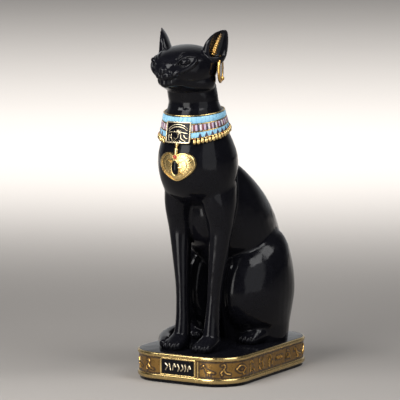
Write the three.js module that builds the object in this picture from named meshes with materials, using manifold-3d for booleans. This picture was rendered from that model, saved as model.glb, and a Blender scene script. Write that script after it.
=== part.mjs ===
// A seated cat with upright ears, earrings, a beaded collar and a winged heart pendant, on a low plinth with
// rounded corners. It is one casting, so it is one solid. Millimetres, +Z up. The cat looks along -Y, and its
// left side is +X. The origin is the middle of the plinth's underside.
import * as THREE from "three";
import { mergeVertices } from "three/addons/utils/BufferGeometryUtils.js";
import Module from "manifold-3d";

const wasm = await Module();
wasm.setup();

// Driving dimensions of the plinth.
const PLINTH_WIDTH = 70;
const PLINTH_LENGTH = 104;
const PLINTH_HEIGHT = 17.2;
const PLINTH_CORNER = 20;
const FOOT_HEIGHT = 1.7; // dark strip that the gilt band stands on
const FOOT_INSET = 1.3;
const LOWER_MOULDING = 3.1; // heights of the two gilt mouldings
const UPPER_MOULDING = 2.7;
const FRIEZE_DEPTH = 0.8; // how far the frieze lies behind the mouldings
const TOP_ROUNDING = 0.9;
const PANEL_WIDTH = 21.4; // dark panel in the middle of the front
const PANEL_FRAME = 1.3;
const MARK_RELIEF = 0.45;
const SINK = 0.6; // how far a relief is let into the surface that carries it

// The cat is drawn at this height, from the plinth's top to the ear tips, and enlarged to the one wanted.
const CAT_HEIGHT = 184.6;
const DRAWN_HEIGHT = 184.6;

const X = new THREE.Vector3(1, 0, 0);
const Y = new THREE.Vector3(0, 1, 0);
const Z = new THREE.Vector3(0, 0, 1);
const TURN = 2 * Math.PI;

// A closed geometry as a solid that faces outwards.
function solid(geometry) {
  const bare = geometry.clone();
  bare.deleteAttribute("normal");
  bare.deleteAttribute("uv");
  const merged = mergeVertices(bare, 1e-4);
  const triVerts = new Uint32Array(merged.index.array);
  const vertProperties = merged.attributes.position.array;
  const made = new wasm.Manifold(new wasm.Mesh({ numProp: 3, vertProperties, triVerts }));
  if (made.volume() > 0) return made;
  triVerts.reverse();
  return new wasm.Manifold(new wasm.Mesh({ numProp: 3, vertProperties, triVerts }));
}

function join(...parts) {
  return parts.reduce((whole, part) => whole.add(part));
}

// A solid and its mirror image on the other side of the cat.
function pair(part) {
  return part.add(part.mirror([1, 0, 0]));
}

// One closed skin over a row of rings of as many points each. A fan closes each end.
function skin(rings) {
  const count = rings[0].length;
  const positions = rings.flat().flatMap((p) => [p.x, p.y, p.z]);
  const index = [];
  for (let r = 0; r + 1 < rings.length; r++)
    for (let k = 0; k < count; k++) {
      const a = r * count + k;
      const b = r * count + ((k + 1) % count);
      index.push(a, b, a + count, b, b + count, a + count);
    }
  for (const [ring, turned] of [[0, true], [rings.length - 1, false]]) {
    const middle = rings[ring].reduce((sum, p) => sum.add(p), new THREE.Vector3()).divideScalar(count);
    positions.push(middle.x, middle.y, middle.z);
    const centre = positions.length / 3 - 1;
    for (let k = 0; k < count; k++) {
      const a = ring * count + k;
      const b = ring * count + ((k + 1) % count);
      index.push(...(turned ? [centre, b, a] : [centre, a, b]));
    }
  }
  const geometry = new THREE.BufferGeometry();
  geometry.setAttribute("position", new THREE.Float32BufferAttribute(positions, 3));
  geometry.setIndex(index);
  return geometry;
}

// One ring of a form: an ellipse about a centre, or a squarer one where power is over 2.
// A bow draws its two ends sideways by that much.
function ring(centre, across, up, sides, power = 2, bow = 0) {
  const bend = (v) => Math.sign(v) * Math.abs(v) ** (2 / power);
  return Array.from({ length: sides }, (_, k) => {
    const angle = ((k + 0.5) / sides) * TURN;
    return centre
      .clone()
      .addScaledVector(across, bend(Math.cos(angle)))
      .addScaledVector(up, bend(Math.sin(angle)))
      .addScaledVector(X, -bow * Math.sin(angle) ** 2);
  });
}

// Stations [x, y, z, half width, half height] as two smooth curves, of centres and of half sizes.
function curvesOf(stations) {
  const centres = stations.map(([x, y, z]) => new THREE.Vector3(x, y, z));
  const halves = stations.map(([, , , a, b]) => new THREE.Vector3(a, b, 0));
  return {
    centre: new THREE.CatmullRomCurve3(centres, false, "catmullrom", 0.5),
    half: new THREE.CatmullRomCurve3(halves, false, "catmullrom", 0.5),
  };
}

// A smooth solid through stations, whose rings lie in the plane of the two directions across and up.
function form(stations, { across = X, up = Y, sides = 24, steps = 1, power = 2, bow = 0 } = {}) {
  const { centre, half } = curvesOf(stations);
  const count = (stations.length - 1) * steps;
  const rings = Array.from({ length: count + 1 }, (_, i) => {
    const size = half.getPoint(i / count);
    const a = across.clone().multiplyScalar(Math.max(size.x, 0.2));
    const b = up.clone().multiplyScalar(Math.max(size.y, 0.2));
    return ring(centre.getPoint(i / count), a, b, sides, power, bow);
  });
  return solid(skin(rings));
}

// A small rounded lump: a sphere stretched to half sizes, turned, and set at a place.
function lump(x, y, z, halves, turn = [0, 0, 0], [around, down] = [12, 8]) {
  const ball = new THREE.SphereGeometry(1, around, down);
  ball.scale(...halves);
  ball.applyMatrix4(new THREE.Matrix4().makeRotationFromEuler(new THREE.Euler(...turn)));
  ball.translate(x, y, z);
  return solid(ball);
}

// A round bar along a smooth path, with one radius for each point of the path.
function bar(points, radii, sides = 10, steps = 3) {
  const path = new THREE.CatmullRomCurve3(points.map((p) => new THREE.Vector3(...p)));
  const size = new THREE.CatmullRomCurve3(radii.map((r) => new THREE.Vector3(r, 0, 0)));
  const count = (points.length - 1) * steps;
  const frames = path.computeFrenetFrames(count, false);
  const rings = Array.from({ length: count + 1 }, (_, i) => {
    const radius = Math.max(size.getPoint(i / count).x, 0.15);
    const at = path.getPointAt(i / count);
    const across = frames.normals[i].clone().multiplyScalar(radius);
    return ring(at, across, frames.binormals[i].clone().multiplyScalar(radius), sides);
  });
  return solid(skin(rings));
}

// A rounded rectangle about the origin, with half sizes a and b and corner radius r.
function roundedShape(a, b, r) {
  const shape = new THREE.Shape();
  shape.moveTo(a, -b + r);
  shape.lineTo(a, b - r);
  shape.absarc(a - r, b - r, r, 0, Math.PI / 2, false);
  shape.lineTo(-a + r, b);
  shape.absarc(-a + r, b - r, r, Math.PI / 2, Math.PI, false);
  shape.lineTo(-a, -b + r);
  shape.absarc(-a + r, -b + r, r, Math.PI, 1.5 * Math.PI, false);
  shape.lineTo(a - r, -b);
  shape.absarc(a - r, -b + r, r, 1.5 * Math.PI, 2 * Math.PI, false);
  return shape;
}

// A slab with the plinth's outline, moved in by inset, from height z0 to z1.
function slab(inset, z0, z1, rounding = 0) {
  const inner = inset + rounding;
  const shape = roundedShape(PLINTH_WIDTH / 2 - inner, PLINTH_LENGTH / 2 - inner, PLINTH_CORNER - inner);
  const plate = new THREE.ExtrudeGeometry(shape, {
    depth: z1 - z0 - 2 * rounding,
    curveSegments: 5,
    bevelEnabled: rounding > 0,
    bevelThickness: rounding,
    bevelSize: rounding,
    bevelSegments: 1,
  });
  plate.translate(0, 0, z0 + rounding);
  return solid(plate);
}

// A block with half sizes about a place, turned about Z and then leant about its own X.
function block(x, y, z, [a, b, c], turnZ = 0, turnX = 0, turnY = 0) {
  const box = new THREE.BoxGeometry(2 * a, 2 * b, 2 * c);
  box.rotateY(turnY);
  box.rotateX(turnX);
  box.rotateZ(turnZ);
  box.translate(x, y, z);
  return solid(box);
}

const FRIEZE_BASE = FOOT_HEIGHT + LOWER_MOULDING;
const FRIEZE_TOP = PLINTH_HEIGHT - UPPER_MOULDING;
const FRIEZE_HEIGHT = FRIEZE_TOP - FRIEZE_BASE;

// The place and heading of a point that is s millimetres along the frieze. It starts at the middle of the
// front and goes towards +X and round the plinth.
function alongFrieze(s) {
  const r = PLINTH_CORNER - FRIEZE_DEPTH;
  const a = PLINTH_WIDTH / 2 - FRIEZE_DEPTH;
  const b = PLINTH_LENGTH / 2 - FRIEZE_DEPTH;
  const runs = [a - r, (r * Math.PI) / 2, 2 * (b - r), (r * Math.PI) / 2, 2 * (a - r)];
  const around = 2 * runs[4] + 2 * runs[2] + 4 * runs[1];
  let rest = ((s % around) + around) % around;
  const corner = (cx, cy, from) => {
    const angle = from + rest / r;
    return { x: cx + r * Math.cos(angle), y: cy + r * Math.sin(angle), heading: angle + Math.PI / 2 };
  };
  if (rest < runs[0]) return { x: rest, y: -b, heading: 0 };
  rest -= runs[0];
  if (rest < runs[1]) return corner(a - r, -b + r, -Math.PI / 2);
  rest -= runs[1];
  if (rest < runs[2]) return { x: a, y: -b + r + rest, heading: Math.PI / 2 };
  rest -= runs[2];
  if (rest < runs[1]) return corner(a - r, b - r, 0);
  rest -= runs[1];
  if (rest < runs[4]) return { x: a - r - rest, y: b, heading: Math.PI };
  rest -= runs[4];
  if (rest < runs[1]) return corner(-a + r, b - r, Math.PI / 2);
  rest -= runs[1];
  if (rest < runs[2]) return { x: -a, y: b - r - rest, heading: 1.5 * Math.PI };
  rest -= runs[2];
  if (rest < runs[1]) return corner(-a + r, -b + r, Math.PI);
  rest -= runs[1];
  return { x: -a + r + rest, y: -b, heading: 0 };
}

// Short raised strokes in the place of writing. Each is [along, up, length, lean], with along and up as
// shares of the frieze's height and lean in turns. None of the signs is a letter.
const SIGNS = [
  [[0.1, 0.5, 0.6, 0], [0.36, 0.28, 0.16, 0]],
  [[0.06, 0.36, 0.3, 0], [0.3, 0.5, 0.56, 0]],
  [[0.1, 0.5, 0.6, 0.06], [0.34, 0.5, 0.6, 0.06]],
  [[0.06, 0.66, 0.26, 0], [0.34, 0.4, 0.4, 0]],
  [[0.12, 0.34, 0.34, -0.06], [0.36, 0.6, 0.3, -0.06]],
];
const SIGN_PITCH = 1.2; // from one sign to the next, as a share of the frieze's height
const STROKE_WIDTH = 0.95;

function plinth() {
  let base = slab(FOOT_INSET, 0, FOOT_HEIGHT + SINK);
  base = join(
    base,
    slab(0, FOOT_HEIGHT, FRIEZE_BASE, 0.8),
    slab(FRIEZE_DEPTH, FRIEZE_BASE - SINK, FRIEZE_TOP + SINK),
    slab(0, FRIEZE_TOP, PLINTH_HEIGHT, TOP_ROUNDING),
  );
  // The panel in the middle of the front: a frame, and three strokes inside it.
  const front = -PLINTH_LENGTH / 2 + FRIEZE_DEPTH;
  const middle = (FRIEZE_BASE + FRIEZE_TOP) / 2;
  const halfFrame = PANEL_FRAME / 2;
  for (const side of [-1, 1]) {
    const x = side * (PANEL_WIDTH / 2 + halfFrame);
    base = base.add(block(x, front, middle, [halfFrame, MARK_RELIEF, FRIEZE_HEIGHT / 2 + 0.2]));
  }
  for (const [x, share] of [[-6.8, 0.2], [-3.4, 0.3], [0, 0.2], [3.4, 0.3], [6.8, 0.2]]) {
    base = base.add(block(x, front, middle, [0.6, MARK_RELIEF, FRIEZE_HEIGHT * share]));
  }
  // The row of signs round the rest of the plinth.
  const clear = PANEL_WIDTH / 2 + PANEL_FRAME + 1.6;
  const straight = 2 * (PLINTH_WIDTH + PLINTH_LENGTH - 4 * PLINTH_CORNER);
  const around = straight + TURN * (PLINTH_CORNER - FRIEZE_DEPTH);
  const count = Math.floor((around - 2 * clear) / (FRIEZE_HEIGHT * SIGN_PITCH));
  const pitch = (around - 2 * clear) / count;
  for (let i = 0; i < count; i++)
    for (const [along, up, length, lean] of SIGNS[i % SIGNS.length]) {
      const at = alongFrieze(clear + i * pitch + along * FRIEZE_HEIGHT);
      const z = FRIEZE_BASE + up * FRIEZE_HEIGHT;
      const halves = [STROKE_WIDTH / 2, MARK_RELIEF, (length * FRIEZE_HEIGHT) / 2];
      base = base.add(block(at.x, at.y, z, halves, at.heading, 0, lean * TURN));
    }
  return base;
}

// The cat is drawn standing on a floor at this height, with its ear tips at 201.8.
const DRAWN_FLOOR = 17.2;
const INTO_FLOOR = DRAWN_FLOOR - SINK;

// Neck, chest and shoulders: [x, y, z, half width, half length] from the top down.
const CHEST = [
  [0, -37.5, 176, 13.2, 15],
  [0, -34.6, 165, 14.2, 14.6],
  [0, -33, 159.6, 14.4, 14.2],
  [0, -32.1, 155.6, 15.5, 16.7],
  [0, -31.9, 152, 16.2, 17.2],
  [0, -30.6, 144, 18.2, 18.4],
  [0, -29.4, 137, 20.4, 21.6],
  [0, -28.6, 130, 22, 24.4],
  [0, -28, 123.5, 22.3, 25],
  [0, -27.8, 117, 21.6, 23.4],
  [0, -27.5, 112.5, 20.7, 21.4],
  [0, -27.2, 109, 19.8, 19],
  [0, -27, 106.2, 18.4, 16],
  [0, -26.6, 103.8, 16, 12.2],
  [0, -26, 101.8, 12, 8],
  [0, -25.4, 100.4, 6.5, 4],
];
const BACK = [
  [0, -13, 127, 10, 6.5],
  [0, -8, 120, 15.4, 14],
  [0, -3.6, 112.5, 19.4, 20.6],
  [0, -0.5, 105, 22.2, 27.6],
  [0, 3, 98, 23.4, 32],
  [0, 6.5, 91, 24.1, 35],
  [0, 10, 84, 24.4, 36.2],
  [0, 14, 77, 24.5, 35.2],
  [0, 20, 66, 25, 29.6],
  [0, 25, 52, 26, 24.4],
  [0, 28.6, 38, 26.2, 20.6],
  [0, 30, 26, 25.4, 17.6],
  [0, 30.5, INTO_FLOOR, 24.4, 15.6],
];
// The left thigh, and the left foreleg down to its wrist.
const THIGH = [
  [17.4, 24.6, 82, 4, 7.4],
  [18.2, 21.6, 79.6, 8.2, 14.4],
  [19, 18.6, 75.4, 11.2, 19.8],
  [19.7, 16.8, 70, 12.7, 24.6],
  [20.1, 15.4, 63, 13.8, 28.6],
  [20.3, 15.2, 54, 14.3, 31.4],
  [20.2, 15.4, 45, 14.3, 32.2],
  [19.8, 16, 37, 13.5, 30.6],
  [19.2, 17.6, 30.5, 12.8, 27.2],
  [18.8, 19.8, 25.5, 12.2, 22.8],
  [18.5, 20.8, INTO_FLOOR, 11.6, 20],
];
const THIGH_BOW = 7;
const FORELEG = [
  [9.5, -24.6, 124, 7.2, 13.4],
  [10.6, -24.6, 118, 8.6, 15.2],
  [11.6, -24.6, 112, 8.8, 15.2],
  [12.2, -24.8, 105, 8.8, 14.4],
  [12.6, -25, 99, 8.4, 12.8],
  [13, -25.4, 94, 7.6, 10.6],
  [13.1, -25.4, 87, 6.9, 7.6],
  [12.8, -25.6, 80, 6, 7],
  [11.7, -26.5, 66, 4.7, 6.1],
  [10.7, -27.1, 55, 4, 5.6],
  [10.2, -27.6, 45, 3.7, 5.4],
  [9.7, -28.6, 34, 3.9, 5.4],
  [9.7, -29.8, 25.5, 4.5, 5.9],
  [9.8, -31.4, INTO_FLOOR, 4.9, 6],
];
// Feet lie along Y: [x, y, z, half width, half height].
const FOREPAW = [
  [10, -25, 22, 3.8, 4.5],
  [9.9, -30, 22.2, 4.9, 6],
  [9.8, -35.5, 21.2, 5.5, 4.9],
  [9.7, -40, 20, 5.4, 3.7],
  [9.7, -43, 19.2, 4.2, 2.5],
];
const HIND_FOOT = [
  [20.8, 34, 21, 4, 4],
  [20.6, 24, 22.4, 6, 6.4],
  [20.2, 13, 23.2, 6.6, 6.8],
  [19.6, 5, 22.4, 6.4, 6.4],
  [18.7, -0.8, 20.6, 5.6, 4.4],
  [18.1, -3.8, 19.4, 4.4, 2.6],
];
// The tail comes round the cat's right side to the right forepaw.
const TAIL = [
  [0, 42, 24, 5],
  [-13, 43.6, 21.6, 4.6],
  [-24, 37, 21, 4.3],
  [-29.6, 24, 20.8, 4.1],
  [-30.4, 8, 20.8, 4],
  [-29.2, -8, 20.8, 3.9],
  [-25.6, -22, 20.6, 3.7],
  [-19.6, -33, 20.3, 3.3],
  [-17.4, -37.6, 20.1, 2.6],
];

function toes(x, y, z, halves, spread, stagger) {
  return join(
    ...[-1.5, -0.5, 0.5, 1.5].map((k) =>
      lump(x + k * spread, y + Math.abs(k) * stagger + k * 0.12, z, halves, [0, 0, 0], [6, 3]),
    ),
  );
}

function torso() {
  const chest = form(CHEST, { sides: 20 });
  const back = form(BACK, { sides: 20 });
  const thighs = pair(form(THIGH, { sides: 16, bow: THIGH_BOW }));
  const legs = pair(form(FORELEG, { sides: 8 }));
  const foreToes = toes(9.7, -41.5, 19.9, [1.6, 3.4, 2.8], 2.75, 0.9);
  const hindToes = toes(18.1, -2.4, 20, [1.6, 3.4, 2.9], 2.8, 0.9);
  const paws = pair(join(form(FOREPAW, { up: Z, sides: 8 }), foreToes));
  const feet = pair(join(form(HIND_FOOT, { up: Z, sides: 8 }), hindToes));
  const tail = bar(
    TAIL.map(([x, y, z]) => [x, y, z]),
    TAIL.map((p) => p[3]),
    8,
    1,
  );
  return join(chest, back, thighs, legs, paws, feet, tail);
}

// The head lies along Y: [x, y, z, half width, half height], from the back to the front.
const SKULL = [
  [0, -23.8, 180.5, 5, 5],
  [0, -26.5, 180.5, 10.5, 9],
  [0, -31, 180.5, 14.8, 11.2],
  [0, -38, 181, 17.5, 12],
  [0, -45, 181.2, 17.7, 11.6],
  [0, -51.5, 181.1, 15.8, 10.8],
  [0, -57, 181.1, 13, 9.3],
  [0, -61, 181, 10.4, 7.4],
  [0, -64, 180.4, 7.6, 5.4],
  [0, -66.4, 179.6, 4, 3],
  [0, -67.6, 179, 1, 0.8],
];
const SKULL_POWER = 2.15;
const BRIDGE = [
  [0, -57, 184.4, 4.2, 3.6],
  [0, -61.5, 183.2, 3.8, 3.2],
  [0, -65, 181.4, 2.8, 2.5],
  [0, -67.6, 179.7, 2.1, 1.8],
  [0, -69, 179, 1.3, 1],
];
const JAW = [
  [0, -30, 173.6, 12.4, 8],
  [0, -36, 172.9, 16, 9.3],
  [0, -43, 172.9, 16, 8.5],
  [0, -50, 173.3, 12.6, 6.8],
  [0, -56, 174, 9, 5.4],
  [0, -61, 174.2, 6.8, 4.8],
  [0, -65, 174.4, 5, 3.8],
];
// The left ear, up its own height, which leans outwards: [x, y, z, half width, half depth].
const EAR = [
  [15.4, -38, 181, 4, 2.8],
  [15.9, -38, 185, 7.2, 4.8],
  [16.2, -37.7, 189, 8.4, 4.4],
  [17.2, -37.2, 194, 7.9, 3.3],
  [18.4, -36.5, 197.8, 6.2, 2.3],
  [19.7, -36, 200.2, 4.2, 1.5],
  [20.8, -35.6, 201.8, 1.9, 0.9],
];
const EAR_TURN = 1.15; // how far the ears face outwards, in radians
const EAR_RIM = 0.74; // the hollow's share of the ear's width
const EYE = { x: 9.9, z: 184.4, length: 3.1, height: 1.75, lean: 0.42 };
const HOOP_CENTRE = [17.9, -34, 179.4];
const HOOP_RADIUS = 7.3;
const HOOP_WIRE = 0.8;
const HOOP_TURN = 0.38;
const HOOP_BEAD = [16.5, -30.2, 173.7];

// The skull's surface straight in front of a place given by x and z.
function faceY(x, z) {
  const { centre, half } = curvesOf(SKULL);
  let inside = 0.45;
  let outside = 1;
  for (let i = 0; i < 24; i++) {
    const t = (inside + outside) / 2;
    const size = half.getPoint(t);
    const across = Math.abs(x / size.x) ** SKULL_POWER;
    const up = Math.abs((z - centre.getPoint(t).z) / size.y) ** SKULL_POWER;
    if (across + up < 1) inside = t;
    else outside = t;
  }
  return centre.getPoint(inside).y;
}

// A raised line on the face through points given by x and z.
function faceLine(points, radii, proud = 0) {
  return bar(
    points.map(([x, z]) => [x, faceY(x, z) - proud, z]),
    radii,
    4,
    2,
  );
}

function ear() {
  const across = new THREE.Vector3(Math.cos(EAR_TURN), Math.sin(EAR_TURN), 0);
  const facing = new THREE.Vector3(Math.sin(EAR_TURN), -Math.cos(EAR_TURN), 0);
  const shell = form(EAR, { across, up: facing, sides: 10 });
  const inside = EAR.slice(1, 6).map(([x, y, z, a, b]) => {
    return [x + facing.x * b, y + facing.y * b, z + 1.6, a * EAR_RIM, b * 0.95];
  });
  const hollow = form(inside, { across, up: facing, sides: 7 });
  // A ribbed tuft stands in the hollow from its foot to near its tip.
  const tuft = bar(
    [
      [16, -39.2, 188],
      [17.4, -37.9, 193.8],
      [19.5, -36.2, 199],
    ],
    [1.8, 1.3, 0.7],
    5,
    2,
  );
  return shell.subtract(hollow).add(tuft);
}

function hoop() {
  // A thin disc with a round wire for its edge, turned to hang flat along the cheek.
  const edge = [-2, -1, 0, 1, 2].map((k) => {
    const angle = (k * Math.PI) / 4;
    return new THREE.Vector2(HOOP_RADIUS + HOOP_WIRE * Math.cos(angle), HOOP_WIRE * Math.sin(angle));
  });
  const inner = HOOP_RADIUS - HOOP_WIRE;
  const profile = [[0, -0.35], [inner, -0.35]].map(([r, h]) => new THREE.Vector2(r, h));
  const back = [[inner, 0.35], [0, 0.35]].map(([r, h]) => new THREE.Vector2(r, h));
  const disc = new THREE.LatheGeometry([...profile, ...edge, ...back], 14);
  disc.rotateZ(Math.PI / 2);
  disc.rotateZ(HOOP_TURN);
  disc.translate(...HOOP_CENTRE);
  return join(solid(disc), lump(...HOOP_BEAD, [1.5, 1.5, 1.5], [0, 0, 0], [6, 4]));
}

function head() {
  let whole = join(
    form(SKULL, { up: Z, sides: 22, power: SKULL_POWER }),
    form(BRIDGE, { up: Z, sides: 8 }),
    form(JAW, { up: Z, sides: 16, power: SKULL_POWER }),
    lump(0, -63.8, 172.7, [3.6, 3.8, 2.8], [0, 0, 0], [8, 6]),
    lump(0, -64, 176.6, [4.6, 4.4, 3.8], [0, 0, 0], [10, 6]),
    pair(lump(2.5, -65.3, 177, [3, 3.2, 2.4], [0, 0, 0.3], [8, 6])),
  );
  // Nostrils, the split of the lip and the line of the mouth.
  whole = whole.subtract(pair(lump(1.4, -69.4, 178.8, [0.7, 0.9, 0.5], [0, -0.5, 0.3], [6, 4])));
  whole = whole.subtract(block(0, -69.2, 176.8, [0.3, 1.4, 1.4]));
  const lips = [
    [0, -68.6, 175.2],
    [2.6, -68.2, 174.6],
    [5.2, -65.6, 174.9],
    [7.4, -61.4, 176.2],
  ];
  whole = whole.subtract(pair(bar(lips, [0.5, 0.6, 0.6, 0.3], 5, 2)));
  // Each eye is a ball in a hollow, with a lid over it and a raised line under it that runs on to the cheek.
  const { x, z, length, height, lean } = EYE;
  const y = faceY(x, z);
  const slant = [0, -lean, lean];
  whole = whole.subtract(pair(lump(x + 0.4, y - 0.7, z, [length + 0.9, 2, height + 0.6], slant, [8, 6])));
  whole = whole.add(pair(lump(x, y + 1.2, z, [length, 1.9, height], slant, [8, 6])));
  const under = [
    [5.7, 176.6],
    [6.3, 177.8],
    [8.5, 179.2],
    [11.2, 180.7],
    [13.2, 182.9],
    [13.2, 186],
    [11.9, 187.1],
  ];
  const over = [
    [6.2, 182.8],
    [7.6, 185.2],
    [10, 187],
    [12.2, 186.9],
  ];
  whole = whole.add(pair(faceLine(under, [0.5, 0.7, 0.8, 0.8, 0.8, 0.7, 0.4])));
  whole = whole.add(pair(faceLine(over, [0.4, 0.7, 0.7, 0.4])));
  return join(whole, pair(ear()), pair(hoop()));
}

// The collar lies round the neck between two slanting edges. At the height z its radius is that of a cone.
const COLLAR_TOP = { z: 155.4, slant: 0.106 };
const COLLAR_FOOT = { z: 142.2, slant: 0.25 };
const COLLAR_ROWS = [
  // [share of the way down, relief]
  [0, 0.35],
  [0.07, 0.35],
  [0.08, -0.05],
  [0.29, -0.05],
  [0.32, 0.3],
  [0.35, -0.05],
  [0.56, -0.05],
  [0.59, 0.3],
  [0.62, -0.05],
  [0.79, -0.05],
  [0.82, 0.35],
  [0.97, 0.45],
  [1, 0.1],
];

function collarRing(share, relief, sides) {
  return Array.from({ length: sides }, (_, k) => {
    const angle = ((k + 0.5) / sides) * TURN;
    // The slants are measured from the middle of the neck. Two rounds settle the height and the radius.
    let z = COLLAR_TOP.z;
    let y = 0;
    let radius = 0;
    for (let i = 0; i < 6; i++) {
      radius = 17.1 + (COLLAR_TOP.z - z) * 0.236 + relief;
      y = -32.2 + (COLLAR_TOP.z - z) * 0.09 + radius * Math.sin(angle);
      const top = COLLAR_TOP.z + COLLAR_TOP.slant * (y + 32.2);
      const foot = COLLAR_FOOT.z + COLLAR_FOOT.slant * (y + 31);
      z = top + (foot - top) * share;
    }
    return new THREE.Vector3(radius * Math.cos(angle), y, z);
  });
}

function collarBody(rows, sides) {
  return solid(skin(rows.map(([share, relief]) => collarRing(share, relief, sides)).reverse()));
}

function collar() {
  const whole = collarBody(COLLAR_ROWS, 24);
  // A framed plate in the middle of the front, with a winged sign on it.
  const proud = collarBody([[0, 1.5], [1.1, 1.5]], 24);
  const plate = proud.intersect(block(0, -50, 144, [8.1, 9, 6.2]));
  const sunk = block(0, -50, 144, [7, 9, 5.1]).subtract(collarBody([[0, 0.9], [1.1, 0.9]], 24));
  const wing = pair(
    bar(
      [
        [0.4, -51.6, 146],
        [3.2, -51.2, 147.8],
        [6.2, -50.2, 146.4],
      ],
      [0.9, 0.9, 0.6],
      7,
      2,
    ),
  );
  const disc = lump(0, -52.2, 142.8, [1.9, 1.6, 2.6], [0.25, 0, 0], [10, 6]);
  return join(whole, plate.subtract(sunk), wing, disc);
}

// The pendant is a heart that follows the chest. It hangs from the plate by a short link.
const HEART = { x: 0, z: 124.6, width: 23.4, height: 16.4 };
const PLATE_FOOT = 138.6; // the height at which the link leaves the collar's plate

function heartShape(shrink) {
  const w = HEART.width / 2 - shrink;
  const h = HEART.height / 2 - shrink;
  const shape = new THREE.Shape();
  shape.moveTo(0, h * 0.74);
  shape.bezierCurveTo(w * 0.16, h * 1.04, w * 0.58, h * 1.12, w * 0.84, h * 0.72);
  shape.bezierCurveTo(w * 1.08, h * 0.34, w * 0.98, -h * 0.2, w * 0.62, -h * 0.58);
  shape.bezierCurveTo(w * 0.42, -h * 0.79, w * 0.2, -h, 0, -h);
  shape.bezierCurveTo(-w * 0.2, -h, -w * 0.42, -h * 0.79, -w * 0.62, -h * 0.58);
  shape.bezierCurveTo(-w * 0.98, -h * 0.2, -w * 1.08, h * 0.34, -w * 0.84, h * 0.72);
  shape.bezierCurveTo(-w * 0.58, h * 1.12, -w * 0.16, h * 1.04, 0, h * 0.74);
  return shape;
}

function grownChest(by) {
  return form(CHEST.map(([x, y, z, a, b]) => [x, y, z, a + by, b + by]), { sides: 20 });
}

function heartPrism(shrink) {
  const settings = { depth: 24, curveSegments: 3, bevelEnabled: false };
  const prism = new THREE.ExtrudeGeometry(heartShape(shrink), settings);
  prism.rotateX(Math.PI / 2);
  prism.translate(HEART.x, -36, HEART.z);
  return solid(prism);
}

function pendant() {
  const plate = heartPrism(0).intersect(grownChest(1.5));
  const field = heartPrism(1.1).subtract(grownChest(1));
  const linkFoot = HEART.z + 0.8 * (HEART.height / 2);
  const link = [
    [0, -51.8, PLATE_FOOT],
    [0, -52.8, (PLATE_FOOT + linkFoot) / 2],
    [0, -53.7, linkFoot],
  ];
  return join(
    plate.subtract(field),
    lump(0, -53.8, HEART.z - 0.4, [2.4, 1.8, 4.3], [0, 0, 0], [10, 6]),
    bar(link, [1.1, 1.3, 1.1], 8, 2),
  );
}

function cat() {
  const whole = join(torso(), head(), collar(), pendant());
  const factor = CAT_HEIGHT / DRAWN_HEIGHT;
  const scaled = whole.translate([0, 0, -DRAWN_FLOOR]).scale([factor, factor, factor]);
  return scaled.translate([0, 0, PLINTH_HEIGHT]);
}

function meshOf(name, made, colour) {
  const shape = made.getMesh();
  const geometry = new THREE.BufferGeometry();
  geometry.setAttribute("position", new THREE.Float32BufferAttribute(shape.vertProperties, 3));
  geometry.setIndex(Array.from(shape.triVerts));
  geometry.computeVertexNormals();
  const mesh = new THREE.Mesh(geometry, new THREE.MeshStandardMaterial({ color: colour, roughness: 0.25 }));
  mesh.name = name;
  return mesh;
}

const figure = new THREE.Group();
figure.name = "bastet_cat";
figure.add(meshOf("bastet_cat_figure", plinth().add(cat()), 0x121214));

export default figure;
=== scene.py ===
"""The looks of a seated cat figure on its plinth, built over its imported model.

Tables are in millimetres and meshes in metres. +Z is up, the cat looks along -Y and its left side is +X. The
origin is the middle of the plinth's underside.
"""

import math

import bpy
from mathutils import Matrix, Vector
from mathutils.kdtree import KDTree


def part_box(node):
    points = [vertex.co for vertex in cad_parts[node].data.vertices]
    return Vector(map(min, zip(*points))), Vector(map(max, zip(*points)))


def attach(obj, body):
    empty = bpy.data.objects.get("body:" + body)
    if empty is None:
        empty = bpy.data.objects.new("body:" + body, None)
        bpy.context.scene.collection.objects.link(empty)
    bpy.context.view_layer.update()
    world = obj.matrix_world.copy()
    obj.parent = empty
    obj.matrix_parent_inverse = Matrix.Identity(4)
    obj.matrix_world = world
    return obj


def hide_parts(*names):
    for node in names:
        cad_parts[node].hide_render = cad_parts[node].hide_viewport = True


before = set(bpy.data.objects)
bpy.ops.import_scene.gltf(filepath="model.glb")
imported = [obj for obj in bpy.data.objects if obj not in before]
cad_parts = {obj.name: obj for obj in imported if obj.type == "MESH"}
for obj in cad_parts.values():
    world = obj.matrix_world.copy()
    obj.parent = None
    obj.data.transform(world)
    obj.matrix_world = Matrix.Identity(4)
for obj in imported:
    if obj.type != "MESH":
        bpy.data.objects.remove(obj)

bl_info = {
    "name": "Seated cat figure",
    "version": (1, 0, 0),
    "blender": (4, 5, 0),
    "location": "3D View > Sidebar > Cat figure",
    "description": "Builds the finished surfaces of a seated cat figure over its solid model",
    "category": "Add Mesh",
}

MM = 0.001
TURN = math.tau
FRONT = -math.pi / 2  # the angle round the neck at which the collar faces forward
NODE = "bastet_cat_figure"
BODY = "root"
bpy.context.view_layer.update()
LOW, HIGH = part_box(NODE)

X = Vector((1, 0, 0))
Y = Vector((0, 1, 0))
Z = Vector((0, 0, 1))

FORM_SIDES = 40  # points round a form
FORM_STEPS = 4  # rings from one station of a form to the next
THINNEST_FORM = 0.2  # in millimetres, at a form's ends
THINNEST_WIRE = 0.1
CAST_ROUNDS = 9  # of smoothing, for the first skin over the forms
SMOOTH_ANGLE = math.radians(40)


# Sizes and colours


def length(name, description, default):
    return bpy.props.FloatProperty(name=name, description=description, default=default, unit="LENGTH")


def colour(name, description, default):
    return bpy.props.FloatVectorProperty(
        name=name, description=description, default=default, subtype="COLOR", size=3, min=0, max=1
    )


def count(name, description, default):
    return bpy.props.IntProperty(name=name, description=description, default=default, min=3)


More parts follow.
